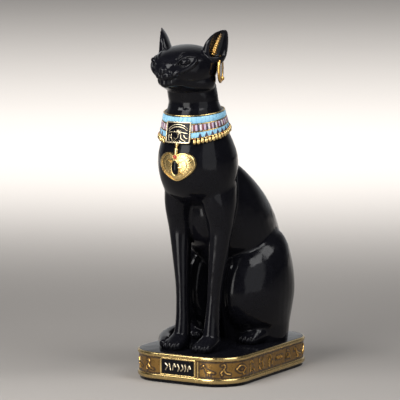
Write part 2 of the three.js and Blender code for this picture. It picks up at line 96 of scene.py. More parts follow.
class FigureSizes(bpy.types.PropertyGroup):
    """Sizes of the figure."""

    plinth_width: length("Plinth width", "Width of the plinth", HIGH.x - LOW.x)
    plinth_length: length("Plinth length", "Length of the plinth", 2 * HIGH.y)
    plinth_height: length("Plinth height", "Height of the plinth", 17.2 * MM)
    corner: length("Plinth corner", "Radius of the plinth's corners", 20 * MM)
    foot_height: length("Foot", "Height of the dark strip under the gilt band", 1.7 * MM)
    foot_inset: length("Foot inset", "How far the dark strip stands back", 1.3 * MM)
    lower_moulding: length("Lower moulding", "Height of the lower gilt moulding", 3.1 * MM)
    upper_moulding: length("Upper moulding", "Height of the upper gilt moulding", 2.7 * MM)
    frieze_depth: length("Frieze depth", "How far the frieze lies behind the mouldings", 0.8 * MM)
    panel_width: length("Panel width", "Width of the dark panel on the front", 21.4 * MM)
    body_grain: length("Body grain", "Size of the body's finest form", 0.5 * MM)
    head_grain: length("Head grain", "Size of the head's finest form", 0.36 * MM)
    face_grain: length("Face grain", "Size of the face's finest carving", 0.28 * MM)
    body_faces: count("Body faces", "Most triangles in the body", 170000)
    head_faces: count("Head faces", "Most triangles in the head", 150000)
    blocks: count("Collar blocks", "Blocks in the collar's upper row", 44)
    bars: count("Collar bars", "Bars in the collar's second row", 96)
    triangles: count("Collar triangles", "Triangles in the collar's third row", 34)
    drops: count("Collar drops", "Drops along the collar's lower edge", 58)


class FigureColours(bpy.types.PropertyGroup):
    """Colours of the figure's paints."""

    black: colour("Black", "Glossy black of the cat and the plinth", (0.0025, 0.0025, 0.0035))
    gold: colour("Gold", "Bright gilt paint", (0.70, 0.51, 0.215))
    old_gold: colour("Old gold", "Duller gilt paint of the frieze", (0.27, 0.152, 0.042))
    warm_gold: colour("Warm gold", "Deeper gilt paint of the ears and earrings", (0.62, 0.37, 0.11))
    moulding_gold: colour("Moulding gold", "Greenish gilt paint of the mouldings", (0.55, 0.40, 0.17))
    # The gilding's dark under colour: it shows in random patches, and in the hollows as painted shade.
    wash_and_shade: colour("Wash and shade", "Dark wash in the hollows of the gilding", (0.035, 0.017, 0.006))
    silver_gold: colour("Silver gold", "Paler gilding of the plates' raised lines", (0.76, 0.65, 0.45))
    turquoise: colour("Turquoise", "Turquoise of the collar", (0.23, 0.46, 0.62))
    # Painted shade: the darker blue shows between the turquoise blocks and in their low places.
    deep_blue: colour("Deep blue", "Darker blue between the turquoise blocks", (0.06, 0.20, 0.33))
    lavender: colour("Lavender", "Lavender beads", (0.45, 0.34, 0.45))
    white: colour("White", "White beads", (0.56, 0.52, 0.54))
    maroon: colour("Maroon", "Maroon beads", (0.16, 0.045, 0.05))
    # Also the darker colour between the other bars, shown there as painted shade.
    purple: colour("Purple", "Dark purple beads and triangles", (0.045, 0.03, 0.055))
    red: colour("Red", "Small red drops", (0.35, 0.03, 0.012))
    floor: colour("Floor", "Pale floor of the studio", (0.33, 0.31, 0.292))


# Modelling


def deselect():
    if bpy.context.object and bpy.context.object.mode != "OBJECT":
        bpy.ops.object.mode_set(mode="OBJECT")
    bpy.ops.object.select_all(action="DESELECT")


def select(*pieces):
    deselect()
    for piece in pieces:
        piece.select_set(True)
    bpy.context.view_layer.objects.active = pieces[0]


def settle(piece):
    """Moves the piece's place, turn and size into its mesh."""
    select(piece)
    bpy.ops.object.transform_apply(location=True, rotation=True, scale=True)
    return piece


def outwards(piece):
    """Merges doubles, closes open ends and turns every face outwards."""
    select(piece)
    bpy.ops.object.mode_set(mode="EDIT")
    bpy.ops.mesh.select_all(action="SELECT")
    bpy.ops.mesh.remove_doubles(threshold=1e-7)
    bpy.ops.mesh.fill_holes(sides=0)
    bpy.ops.mesh.normals_make_consistent(inside=False)
    bpy.ops.object.mode_set(mode="OBJECT")
    return piece


def rolled(rings):
    """A grid rolled round a row of rings of as many points, its seam merged and its ends closed."""
    around = len(rings[0])
    deselect()
    bpy.ops.mesh.primitive_grid_add(x_subdivisions=around, y_subdivisions=len(rings) - 1, size=1)
    piece = bpy.context.object
    for k, vertex in enumerate(piece.data.vertices):
        row, place = divmod(k, around + 1)
        vertex.co = rings[row][place % around]
    return outwards(piece)


def joined(pieces):
    """One object of several pieces that may reach into each other."""
    select(*pieces)
    if len(pieces) > 1:
        bpy.ops.object.join()
    return bpy.context.object


def applied(piece, kind, **settings):
    """A modifier with these settings, applied."""
    select(piece)
    modifier = piece.modifiers.new(kind.lower(), kind)
    for key, value in settings.items():
        setattr(modifier, key, value)
    bpy.ops.object.modifier_apply(modifier=modifier.name)
    return piece


def both_sides(piece):
    """The piece with its mirror image on the cat's other side."""
    applied(piece, "MIRROR", use_mirror_merge=False)
    return outwards(piece)


def cast(whole, grain, rounds, most=None):
    """One even skin over a piece, smoothed, and thinned to a number of triangles if one is given."""
    applied(whole, "REMESH", mode="VOXEL", voxel_size=grain)
    applied(whole, "SMOOTH", factor=0.5, iterations=rounds)
    triangles = 2 * len(whole.data.polygons)
    if most and triangles > most:
        applied(whole, "DECIMATE", ratio=most / triangles)
    return whole


def carved(piece, tool, operation="DIFFERENCE"):
    """The piece with the tool cut away, or joined on. The tool is used up."""
    applied(piece, "BOOLEAN", object=tool, operation=operation, solver="MANIFOLD")
    bpy.data.objects.remove(tool)
    return piece


def through(row, t):
    """A smooth curve through a row of vectors, read at the place t from 0 to 1."""
    last = len(row) - 1
    along = min(max(t, 0.0), 1.0) * last
    i = min(int(along), last - 1)
    u = along - i
    a, b = row[i], row[i + 1]
    before = row[i - 1] if i > 0 else a * 2 - b
    after = row[i + 2] if i + 2 <= last else b * 2 - a
    start, end = (b - before) / 2, (after - a) / 2
    return a + start * u + (3 * (b - a) - 2 * start - end) * u**2 + (2 * (a - b) + start + end) * u**3


def rising(value, start, over):
    """0 up to a start, and from there up to 1 over a distance."""
    return min(max((value - start) / over, 0), 1)


def ring(centre, across, up, sides, power=2.0, bow=0.0):
    """An ellipse about a centre, or a squarer one. A bow draws its two ends sideways."""
    points = []
    for k in range(sides):
        angle = (k + 0.5) / sides * TURN
        bend = [math.copysign(abs(v) ** (2 / power), v) for v in (math.cos(angle), math.sin(angle))]
        points.append(centre + across * bend[0] + up * bend[1] - X * bow * math.sin(angle) ** 2)
    return points


def form(stations, across=X, up=Y, power=2.0, bow=0.0):
    """A smooth closed form through stations [x, y, z, half width, half height]."""
    row = [Vector(station) for station in stations]
    total = (len(row) - 1) * FORM_STEPS
    rings = []
    for i in range(total + 1):
        x, y, z, a, b = through(row, i / total) * MM
        a, b = max(a, THINNEST_FORM * MM), max(b, THINNEST_FORM * MM)
        rings.append(ring(Vector((x, y, z)), across * a, up * b, FORM_SIDES, power, bow * MM))
    return rolled(rings)


def lump(place, halves, turn=(0, 0, 0), segments=24, rings=16):
    """A ball stretched to half sizes, turned and set at a place."""
    deselect()
    bpy.ops.mesh.primitive_uv_sphere_add(
        segments=segments,
        ring_count=rings,
        radius=1,
        location=Vector(place) * MM,
        rotation=turn,
        scale=Vector(halves) * MM,
    )
    return settle(bpy.context.object)


def block(place, halves):
    """A block with half sizes about a place."""
    deselect()
    bpy.ops.mesh.primitive_cube_add(size=2, location=Vector(place) * MM, scale=Vector(halves) * MM)
    return settle(bpy.context.object)


def wires(paths, closed=False, sides=8):
    """Round wires along paths of points [place in metres, radius in millimetres], as one mesh."""
    curve = bpy.data.curves.new("wires", "CURVE")
    curve.dimensions = "3D"
    curve.bevel_depth = MM
    curve.bevel_resolution = sides // 2 - 2
    curve.use_fill_caps = not closed
    for path in paths:
        spline = curve.splines.new("POLY")
        spline.points.add(len(path) - 1)
        for point, (place, radius) in zip(spline.points, path):
            point.co = (*place, 1)
            point.radius = radius
        spline.use_cyclic_u = closed
    piece = bpy.data.objects.new("wires", curve)
    bpy.context.scene.collection.objects.link(piece)
    select(piece)
    bpy.ops.object.convert(target="MESH")
    return outwards(bpy.context.object)


def path_of(points, radii, steps=8):
    """A wire's path through points in millimetres, with a radius for each of them or one for all."""
    if isinstance(radii, float):
        radii = [radii] * len(points)
    row = [Vector((*point, radius)) for point, radius in zip(points, radii)]
    total = (len(row) - 1) * steps
    read = [through(row, i / total) for i in range(total + 1)]
    return [(p.xyz * MM, max(p[3], THINNEST_WIRE)) for p in read]


def set_relief(piece, height):
    """Keeps how high each point stands, 0 in the hollows and 1 on the edges, for the paints to read: they
    darken the low points as painted shade.
    """
    points = piece.data.vertices
    values = [float(height(point.co)) for point in points] if callable(height) else [height] * len(points)
    piece.data.attributes.new("relief", "FLOAT", "POINT").data.foreach_set("value", values)


def finished(piece, name, material, relief=None):
    """Names the piece, gives it its relief and its finish, and sets it on the figure."""
    if relief is not None:
        set_relief(piece, relief)
    piece.name = piece.data.name = name
    if material:
        piece.data.materials.clear()
        piece.data.materials.append(material)
    select(piece)
    bpy.ops.object.shade_smooth_by_angle(angle=SMOOTH_ANGLE)
    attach(piece, BODY)


# Finishes

BRUSH_MARKS = 0.7  # how far the brush strokes change the height that the paint reads
PAINT_EDGE = {"From_Min": 0.95, "From_Max": 1.6}  # from the height where paint begins to where it is full
LACQUER_SHINE = 0.15  # low, so that the lacquer shows the lights and hardly anything of the room
CLOUDING = 2.2  # the lacquer's lightest patches over its darkest


def fill(tree, made, inputs):
    """Fills a node's inputs, by name or number, each with a value or with another node's output."""
    for key, value in inputs.items():
        if isinstance(value, bpy.types.NodeSocket):
            tree.links.new(value, made.inputs[key])
        else:
            made.inputs[key].default_value = value


def node(tree, kind, *inputs, **settings):
    """A shader node. Settings in capitals fill the inputs of that name, and the others set properties."""
    made = tree.nodes.new("ShaderNode" + kind)
    named = {}
    for key, value in settings.items():
        if key[0].isupper():
            named[key.replace("_", " ")] = value
        else:
            setattr(made, key, value)
    fill(tree, made, {**dict(enumerate(inputs)), **named})
    return made


def tint(tree, dark, light, mask):
    """A colour between a darker and a lighter one, by a mask."""
    ramp = node(tree, "ValToRGB", Fac=mask)
    for stop, tone in zip(ramp.color_ramp.elements, (dark, light)):
        stop.color = rgba(tone)
    return ramp.outputs["Color"]


def new_group(name, inputs, outputs):
    """An empty node group. Inputs are names with defaults, and outputs are names with kinds of socket."""
    group = bpy.data.node_groups.new(name, "ShaderNodeTree")
    for label, default in inputs.items():
        kind = "NodeSocketFloat" if isinstance(default, float) else "NodeSocketColor"
        group.interface.new_socket(label, in_out="INPUT", socket_type=kind).default_value = default
    for label, kind in outputs.items():
        group.interface.new_socket(label, in_out="OUTPUT", socket_type=kind)
    return group, group.nodes.new("NodeGroupInput").outputs, group.nodes.new("NodeGroupOutput")


def cast_surface():
    """Slow waves and fine grain of a cast and sprayed surface: a height for bump, and a roughness."""
    if "cast surface" in bpy.data.node_groups:
        return bpy.data.node_groups["cast surface"]
    tree, given, end = new_group(
        "cast surface",
        {"Waves": 0.5, "Grain": 0.2, "Smoothest": 0.1, "Roughest": 0.3},
        dict.fromkeys(("Height", "Roughness", "Patches"), "NodeSocketFloat"),
    )
    place = node(tree, "TexCoord").outputs["Object"]
    waves = node(tree, "TexNoise", Vector=place, Scale=110.0, Detail=1.0)
    grain = node(tree, "TexNoise", Vector=place, Scale=2400.0, Detail=2.0)
    patches = node(tree, "TexNoise", Vector=place, Scale=320.0, Detail=4.0, Roughness=0.6).outputs["Fac"]
    high = node(tree, "Math", waves.outputs["Fac"], given["Waves"], operation="MULTIPLY").outputs[0]
    height = node(tree, "Math", grain.outputs["Fac"], given["Grain"], high, operation="MULTIPLY_ADD")
    spread = node(
        tree,
        "MapRange",
        interpolation_type="SMOOTHSTEP",
        Value=patches,
        From_Min=0.35,
        From_Max=0.7,
        To_Min=given["Smoothest"],
        To_Max=given["Roughest"],
    )
    fill(tree, end, {"Height": height.outputs[0], "Roughness": spread.outputs["Result"], "Patches": patches})
    return tree


def hand_paint_and_shade():
    """Paint laid on by hand and never quite even, with painted shade: darker in the hollows and full on the
    edges.
    """
    if "hand paint and shade" in bpy.data.node_groups:
        return bpy.data.node_groups["hand paint and shade"]
    tree, given, end = new_group(
        "hand paint and shade",
        {"Paint": (0.8, 0.8, 0.8, 1), "Under": (0.02, 0.02, 0.02, 1), "Cover": 0.8, "Grain": 600.0},
        {"Color": "NodeSocketColor", "Painted": "NodeSocketFloat"},
    )
    place = node(tree, "TexCoord").outputs["Object"]
    relief = node(tree, "Attribute", attribute_name="relief").outputs["Fac"]
    marks = {"Detail": 5.0, "Roughness": 0.65, "Distortion": 0.4}
    strokes = node(tree, "TexNoise", Vector=place, Scale=given["Grain"], **marks).outputs["Fac"]
    # The height of the relief, roughened by the brush strokes, decides how much paint there is, so that the
    # low places take the darker colour as painted shade.
    high = node(tree, "Math", strokes, BRUSH_MARKS, relief, operation="MULTIPLY_ADD").outputs[0]
    covered = node(tree, "Math", high, given["Cover"], operation="ADD").outputs[0]
    spread = node(tree, "MapRange", interpolation_type="SMOOTHSTEP", Value=covered, **PAINT_EDGE)
    mask = spread.outputs["Result"]
    mix = node(tree, "Mix", data_type="RGBA", Factor=mask, A=given["Under"], B=given["Paint"])
    fill(tree, end, {"Color": mix.outputs["Result"], "Painted": mask})
    return tree


def rgba(value):
    return (*value, 1.0)


def new_material(name):
    material = bpy.data.materials.new(name)
    material.use_nodes = True
    tree = material.node_tree
    return material, tree, tree.nodes["Principled BSDF"]


def add_surface(tree, shader, waves, grain, smoothest, roughest, depth):
    """The cast surface's bump and roughness on a shader. Gives back the surface's patches."""
    spread = {"Smoothest": smoothest, "Roughest": roughest}
    surface = node(tree, "Group", node_tree=cast_surface(), Waves=waves, Grain=grain, **spread).outputs
    bump = node(tree, "Bump", Strength=1.0, Distance=depth * MM, Height=surface["Height"])
    fill(tree, shader, {"Normal": bump.outputs["Normal"], "Roughness": surface["Roughness"]})
    return surface["Patches"]


def black_lacquer():
    """Glossy black lacquer over cast resin, with faint cloudiness."""
    if "black lacquer" in bpy.data.materials:
        return bpy.data.materials["black lacquer"]
    black = bpy.context.scene.figure_colours.black
    material, tree, shader = new_material("black lacquer")
    patches = add_surface(tree, shader, waves=0.9, grain=0.008, smoothest=0.09, roughest=0.19, depth=0.3)
    clouded = tint(tree, black, [value * CLOUDING for value in black], patches)
    fill(tree, shader, {"Base Color": clouded, "Specular IOR Level": LACQUER_SHINE})
    return material


def painted(name, paint, under, cover, roughness, depth, grain=600.0, metallic=0.0):
    """A hand-painted finish in two of the figure's colours, the darker one laid into its hollows as painted
    shade.
    """
    if name in bpy.data.materials:
        return bpy.data.materials[name]
    colours = bpy.context.scene.figure_colours
    # under is the darker colour: painted shade in the hollows, and random patches elsewhere.
    top, below = rgba(getattr(colours, paint)), rgba(getattr(colours, under))
    material, tree, shader = new_material(name)
    add_surface(tree, shader, 0.5, 0.3, *roughness, depth)
    laid = {"Paint": top, "Under": below, "Cover": cover, "Grain": grain}
    coat = node(tree, "Group", node_tree=hand_paint_and_shade(), **laid).outputs
    fill(tree, shader, {"Base Color": coat["Color"]})
    if metallic:
        metal = node(tree, "Math", coat["Painted"], metallic, operation="MULTIPLY")
        fill(tree, shader, {"Metallic": metal.outputs[0]})
    return material


def gilding(name, gold, cover, roughness, depth=0.1, grain=600.0, metallic=0.95):
    """One of the gilt paints, with a dark colour painted into its hollows as shade."""
    return painted(name, gold, "wash_and_shade", cover, roughness, depth, grain, metallic)


def gilt():
    """Bright gilt paint of the collar, the heart and the panel's frame."""
    return gilding("gilt", "gold", 0.85, (0.17, 0.34))


def warm_gilt():
    """Deeper gilding of the ears, the earrings and the frieze's signs."""
    return gilding("warm gilt", "warm_gold", 0.75, (0.2, 0.36))


def pale_gilt():
    """Paler gilding, rubbed onto thin raised lines."""
    return gilding("pale gilt", "silver_gold", 0.8, (0.2, 0.4), metallic=0.85)


def moulding_gilt():
    """Even greenish gilding of the smooth mouldings, darker only where their relief is low, as painted shade.
    """
    return gilding("moulding gilt", "moulding_gold", 0.95, (0.18, 0.3), depth=0.04, grain=260.0)


def old_gilt():
    """Duller gilding of the frieze's ground, so thin that the dark colour under it shows in patches and, at
    the edges and round the signs, as painted shade.
    """
    return gilding("old gilt", "old_gold", 0.38, (0.24, 0.42), depth=0.16, grain=330.0, metallic=0.85)


def bead_paint(name, under="purple"):
    """One of the collar's bead colours, with a darker colour painted into its low places as shade."""
    return painted(name, name, under, 0.8, (0.25, 0.45), depth=0.12, grain=900.0)


# The cat's forms

# Neck, chest and shoulders: [x, y, z, half width, half length] from the top down.
CHEST = [
    [0, -37.5, 176, 13.2, 15],
    [0, -34.6, 165, 14.2, 14.6],
    [0, -33, 159.6, 14.4, 14.2],
    [0, -32.1, 155.6, 15.5, 16.7],
    [0, -31.9, 152, 16.2, 17.2],
    [0, -30.6, 144, 18.2, 18.4],
    [0, -29.4, 137, 20.4, 21.6],
    [0, -28.6, 130, 22, 24.4],
    [0, -28, 123.5, 22.3, 25],
    [0, -27.8, 117, 21.6, 23.4],
    [0, -27.5, 112.5, 20.7, 21.4],
    [0, -27.2, 109, 19.8, 19],
    [0, -27, 106.2, 18.4, 16],
    [0, -26.6, 103.8, 16, 12.2],
    [0, -26, 101.8, 12, 8],
    [0, -25.4, 100.4, 6.5, 4],
]
BACK = [
    [0, -13, 127, 10, 6.5],
    [0, -8, 120, 15.4, 14],
    [0, -3.6, 112.5, 19.4, 20.6],
    [0, -0.5, 105, 22.2, 27.6],
    [0, 3, 98, 23.4, 32],
    [0, 6.5, 91, 24.1, 35],
    [0, 10, 84, 24.4, 36.2],
    [0, 14, 77, 24.5, 35.2],
    [0, 20, 66, 25, 29.6],
    [0, 25, 52, 26, 24.4],
    [0, 28.6, 38, 26.2, 20.6],
    [0, 30, 26, 25.4, 17.6],
    [0, 30.5, 16.6, 24.4, 15.6],
]
CHEST_TOP = 165  # stations up to this height belong to the body
NECK_FOOT = 144  # stations from this height upwards belong to the head
# The left thigh, and the left foreleg down to its wrist.
THIGH = [
    [17.4, 24.6, 82, 4, 7.4],
    [18.2, 21.6, 79.6, 8.2, 14.4],
    [19, 18.6, 75.4, 11.2, 19.8],
    [19.7, 16.8, 70, 12.7, 24.6],
    [20.1, 15.4, 63, 13.8, 28.6],
    [20.3, 15.2, 54, 14.3, 31.4],
    [20.2, 15.4, 45, 14.3, 32.2],
    [19.8, 16, 37, 13.5, 30.6],
    [19.2, 17.6, 30.5, 12.8, 27.2],
    [18.8, 19.8, 25.5, 12.2, 22.8],
    [18.5, 20.8, 16.6, 11.6, 20],
]
THIGH_BOW = 7
FORELEG = [
    [9.5, -24.6, 124, 7.2, 13.4],
    [10.6, -24.6, 118, 8.6, 15.2],
    [11.6, -24.6, 112, 8.8, 15.2],
    [12.2, -24.8, 105, 8.8, 14.4],
    [12.6, -25, 99, 8.4, 12.8],
    [13, -25.4, 94, 7.6, 10.6],
    [13.1, -25.4, 87, 6.9, 7.6],
    [12.8, -25.6, 80, 6, 7],
    [11.7, -26.5, 66, 4.7, 6.1],
    [10.7, -27.1, 55, 4, 5.6],
    [10.2, -27.6, 45, 3.7, 5.4],
    [9.7, -28.6, 34, 3.9, 5.4],
    [9.7, -29.8, 25.5, 4.5, 5.9],
    [9.8, -31.4, 16.6, 4.9, 6],
]
# Feet lie along Y: [x, y, z, half width, half height].
FOREPAW = [
    [10, -25, 22, 3.8, 4.5],
    [9.9, -30, 22.2, 4.9, 6],
    [9.8, -35.5, 21.2, 5.5, 4.9],
    [9.7, -40, 20, 5.4, 3.7],
    [9.7, -43, 19.2, 4.2, 2.5],
]
HIND_FOOT = [
    [20.8, 34, 21, 4, 4],
    [20.6, 24, 22.4, 6, 6.4],
    [20.2, 13, 23.2, 6.6, 6.8],
    [19.6, 5, 22.4, 6.4, 6.4],
    [18.7, -0.8, 20.6, 5.6, 4.4],
    [18.1, -3.8, 19.4, 4.4, 2.6],
]
# The tail comes round the cat's right side to the right forepaw: [x, y, z, radius].
TAIL = [
    [0, 42, 24, 5],
    [-13, 43.6, 21.6, 4.6],
    [-24, 37, 21, 4.3],
    [-29.6, 24, 20.8, 4.1],
    [-30.4, 8, 20.8, 4],
    [-29.2, -8, 20.8, 3.9],
    [-25.6, -22, 20.6, 3.7],
    [-19.6, -33, 20.3, 3.3],
    [-17.4, -37.6, 20.1, 2.6],
]
TAIL_TIP = [2.6, 2.9, 2.6]
# Toes of the left paws: their middle, how far apart they lie, how far the outer ones stand back, and their
# half sizes.
FORE_TOES = {"middle": (9.7, -41.5, 19.9), "spread": 2.75, "stagger": 0.9, "toe": [1.6, 3.4, 2.8]}
HIND_TOES = {"middle": (18.1, -2.4, 20), "spread": 2.8, "stagger": 0.9, "toe": [1.6, 3.4, 2.9]}
TOES = (-1.5, -0.5, 0.5, 1.5)
TOE_GAPS = (-1, 0, 1)
TOE_LEAN = 0.12
# A groove between two toes, from its foot over their tops, and a claw, from its root to its tip: places
# [back, up] from the toes' middle, and radii.
GROOVE = ([(-3.7, -2.4), (-3.1, 0.6), (-1.6, 2.9), (2.2, 3.7)], [0.6, 0.65, 0.6, 0.25])
CLAW = ([(-2.9, 1.1), (-3.7, -0.2), (-3.6, -1.9)], [0.35, 0.5, 0.3])
# The body's forms run together from a height upwards, in full some way above it. The haunches do so less.
# They lie below a height and behind a place along Y, in full some way behind it.
SOFT_ABOVE = (34, 12)
HAUNCH_TOP = 95
HAUNCH_FRONT = (-16, 8)
HAUNCH_SHARPNESS = 0.6
# The head lies along Y: [x, y, z, half width, half height], from the back to the front.
SKULL = [
    [0, -23.8, 180.5, 5, 5],
    [0, -26.5, 180.5, 10.5, 9],
    [0, -31, 180.5, 14.8, 11.2],
    [0, -38, 181, 17.5, 12],
    [0, -45, 181.2, 17.7, 11.6],
    [0, -51.5, 181.1, 15.8, 10.8],
    [0, -57, 181.1, 13, 9.3],
    [0, -61, 181, 10.4, 7.4],
    [0, -64, 180.4, 7.6, 5.4],
    [0, -66.4, 179.6, 4, 3],
    [0, -67.6, 179, 1, 0.8],
]
SKULL_POWER = 2.15  # a little squarer than an ellipse, which is 2
BRIDGE = [
    [0, -57, 184.4, 4.2, 3.6],
    [0, -61.5, 183.2, 3.8, 3.2],
    [0, -65, 181.4, 2.8, 2.5],
    [0, -67.6, 179.7, 2.1, 1.8],
    [0, -69, 179, 1.3, 1],
]
JAW = [
    [0, -30, 173.6, 12.4, 8],
    [0, -36, 172.9, 16, 9.3],
    [0, -43, 172.9, 16, 8.5],
    [0, -50, 173.3, 12.6, 6.8],
    [0, -56, 174, 9, 5.4],
    [0, -61, 174.2, 6.8, 4.8],
    [0, -65, 174.4, 5, 3.8],
]
# Rounded forms of the muzzle: place, half sizes and turn.
WHISKER_PAD = ((2.5, -65.3, 177), [3, 3.2, 2.4], (0, 0, 0.3))
CHIN = ((0, -63.8, 172.7), [3.6, 3.8, 2.8])
MUZZLE = ((0, -64, 176.6), [4.6, 4.4, 3.8])
NOSE = ((0, -67.5, 180), [2.3, 1.5, 1.5])
NOSTRIL = ((1.5, -69, 179), [0.7, 1.0, 0.45], (0, -0.6, 0.3))
# Grooves of the mouth: places [x, z] on the face, and radii.
LIP_SPLIT = ([(0, 178.2), (0, 177), (0, 175.4)], [0.3, 0.4, 0.35])
LIPS = (
    [(0.0, 175.2), (1.4, 174.7), (3.2, 174.7), (4.8, 175.1), (6.2, 175.9), (7.4, 177)],
    [0.45, 0.5, 0.5, 0.5, 0.4, 0.25],
)
WELL_AHEAD = -100  # a place along Y in front of the whole head
# The left ear, up its own height, which leans outwards: [x, y, z, half width, half depth].
EAR = [
    [15.4, -38, 181, 4, 2.8],
    [15.9, -38, 185, 7.2, 4.8],
    [16.2, -37.7, 189, 8.4, 4.4],
    [17.2, -37.2, 194, 7.9, 3.3],
    [18.4, -36.5, 197.8, 6.2, 2.3],
    [19.7, -36, 200.2, 4.2, 1.5],
    [20.8, -35.6, 201.8, 1.9, 0.9],
]
EAR_TURN = 1.15  # how far the ears face outwards, in radians
EAR_RIM = 0.76  # the hollow's share of the ear's width
HOLLOW_DEPTH = 0.95  # the hollow's share of the ear's depth
HOLLOW_LIFT = 1.6  # how far the hollow's stations stand above the ear's
EYE = (9.9, 184.4)  # the middle of the left eye [x, z], as seen from the front
EYE_TURN = (0, -0.42, 0.42)
EYE_HOLLOW = [3.9, 2, 2.3]
EYE_BALL = [3.1, 1.9, 1.75]
# Raised lines of the left of the face: places [x, z], radii, and how far they stand off the skin. The first
# runs under the eye and hooks up behind it. The shorter ones mark the lids, the brow and the cheek.
FACE_LINES = [
    (
        [(5.7, 176), (5.6, 177), (6.3, 177.8), (8.5, 179.2), (11.2, 180.7)]
        + [(12.8, 182.4), (13.6, 184.4), (13.2, 186.2), (11.9, 187.1)],
        [0.5, 1.05, 1.25, 1.35, 1.35, 1.35, 1.2, 0.85, 0.45],
        -0.15,
    ),
    (
        [(6.2, 182.8), (7.2, 184.6), (8.4, 186.2), (10.4, 187.1), (12.2, 186.9)],
        [0.35, 0.65, 0.6, 0.5, 0.3],
        0.2,
    ),
    ([(5.8, 186), (6.6, 187.5), (7.2, 189.4)], [0.3, 0.6, 0.3], 0.15),
    ([(7.6, 182.8), (9, 181.8), (10.6, 182.1), (12, 183.3)], [0.25, 0.35, 0.35, 0.25], 0.05),
    ([(3.9, 179.7), (4.9, 178.3), (5.2, 176.8)], [0.2, 0.4, 0.25], 0.05),
]
TUFT = [[16, -39.4, 187.6], [16.8, -38.5, 191.3], [18, -37.4, 195.2], [19.6, -36.1, 199.2]]
TUFT_STEPS = 90
TUFT_RIBS = 9
TUFT_RIB_DEPTH = 0.13
HOOP_PLACE = {"location": Vector((17.9, -34, 179.4)) * MM, "rotation": (0, math.pi / 2, 0.38)}
HOOP_RADIUS = 7.3
HOOP_WIRE = 0.8
HOOP_BEAD = ((16.5, -30.2, 173.7), [1.55, 1.55, 1.55])
HOOP_STUD = ((17.2, -34.4, 184.6), [1.2, 1.4, 1.5])
WEB = 0.8  # thickness


def across_paw(paw, steps, lean=0.0):
    """Places across a paw, at steps counted from the middle of its toes."""
    x, y, z = paw["middle"]
    return [(x + k * paw["spread"], y + abs(k) * paw["stagger"] + k * lean, z) for k in steps]


def toes(paw):
    return [lump(place, paw["toe"]) for place in across_paw(paw, TOES, TOE_LEAN)]


def paw_lines(paw, steps, profile, radii, lean=0.0):
    """Wires down the front of a paw, one at each step across it, with a profile of places [back, up]."""
    paths = []
    for x, y, z in across_paw(paw, steps, lean):
        paths.append(path_of([(x, y + back, z + up) for back, up in profile], radii))
    return both_sides(wires(paths))


def softened(body):
    """The body with its forms run together, more softly above the paws, and less so at the haunches."""
    group = body.vertex_groups.new(name="soft")
    for vertex in body.data.vertices:
        weight = rising(vertex.co.z / MM, *SOFT_ABOVE)
        if vertex.co.z < HAUNCH_TOP * MM:
            weight *= 1 - HAUNCH_SHARPNESS * rising(vertex.co.y / MM, *HAUNCH_FRONT)
        group.add([vertex.index], weight, "REPLACE")
    applied(body, "SMOOTH", factor=0.6, iterations=26, vertex_group="soft")
    body.vertex_groups.clear()
    return body


def cat_body():
    """Chest, back, haunches, legs, paws and tail as one casting, down to the plinth's top."""
    sizes = bpy.context.scene.figure_sizes
    sides = [
        form(THIGH, bow=THIGH_BOW),
        form(FORELEG),
        form(FOREPAW, up=Z),
        form(HIND_FOOT, up=Z),
        *toes(FORE_TOES),
        *toes(HIND_TOES),
    ]
    tail = wires([path_of([p[:3] for p in TAIL], [p[3] for p in TAIL], 12)], sides=24)
    tip = lump(TAIL[-1][:3], TAIL_TIP)
    chest = form([station for station in CHEST if station[2] <= CHEST_TOP])
    whole = [chest, form(BACK), both_sides(joined(sides)), tail, tip]
    body = softened(cast(joined(whole), sizes.body_grain, CAST_ROUNDS))
    for paw in (FORE_TOES, HIND_TOES):
        body = carved(body, paw_lines(paw, TOE_GAPS, *GROOVE))
        body = carved(body, paw_lines(paw, TOES, *CLAW, TOE_LEAN), "UNION")
    cast(body, sizes.body_grain, 3, sizes.body_faces)
    finished(body, "cat_body", black_lacquer())
    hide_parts(NODE)


def on_face(head, points, radii, lift=0.0):
    """A wire's path through places [x, z] of the face, laid on the head as seen from the front."""
    path = []
    for place, radius in path_of([(x, WELL_AHEAD, z) for x, z in points], radii):
        hit, found, normal, _ = head.ray_cast(place, Y)
        if not hit:
            raise RuntimeError(f"the face has no surface at {place}")
        path.append((found + normal * lift * MM, radius))
    return path


def ear_shell():
    """The left ear, hollowed from its front."""
    across = Vector((math.cos(EAR_TURN), math.sin(EAR_TURN), 0))
    facing = Vector((math.sin(EAR_TURN), -math.cos(EAR_TURN), 0))
    shell = form(EAR, across=across, up=facing)
    hollow = []
    for x, y, z, a, b in EAR[1:6]:
        hollow.append([x + facing.x * b, y + facing.y * b, z + HOLLOW_LIFT, a * EAR_RIM, b * HOLLOW_DEPTH])
    return carved(shell, form(hollow, across=across, up=facing))


def hoop_web():
    """The thin black web inside the left earring."""
    deselect()
    bpy.ops.mesh.primitive_cylinder_add(vertices=48, radius=HOOP_RADIUS * MM, depth=WEB * MM, **HOOP_PLACE)
    return settle(bpy.context.object)


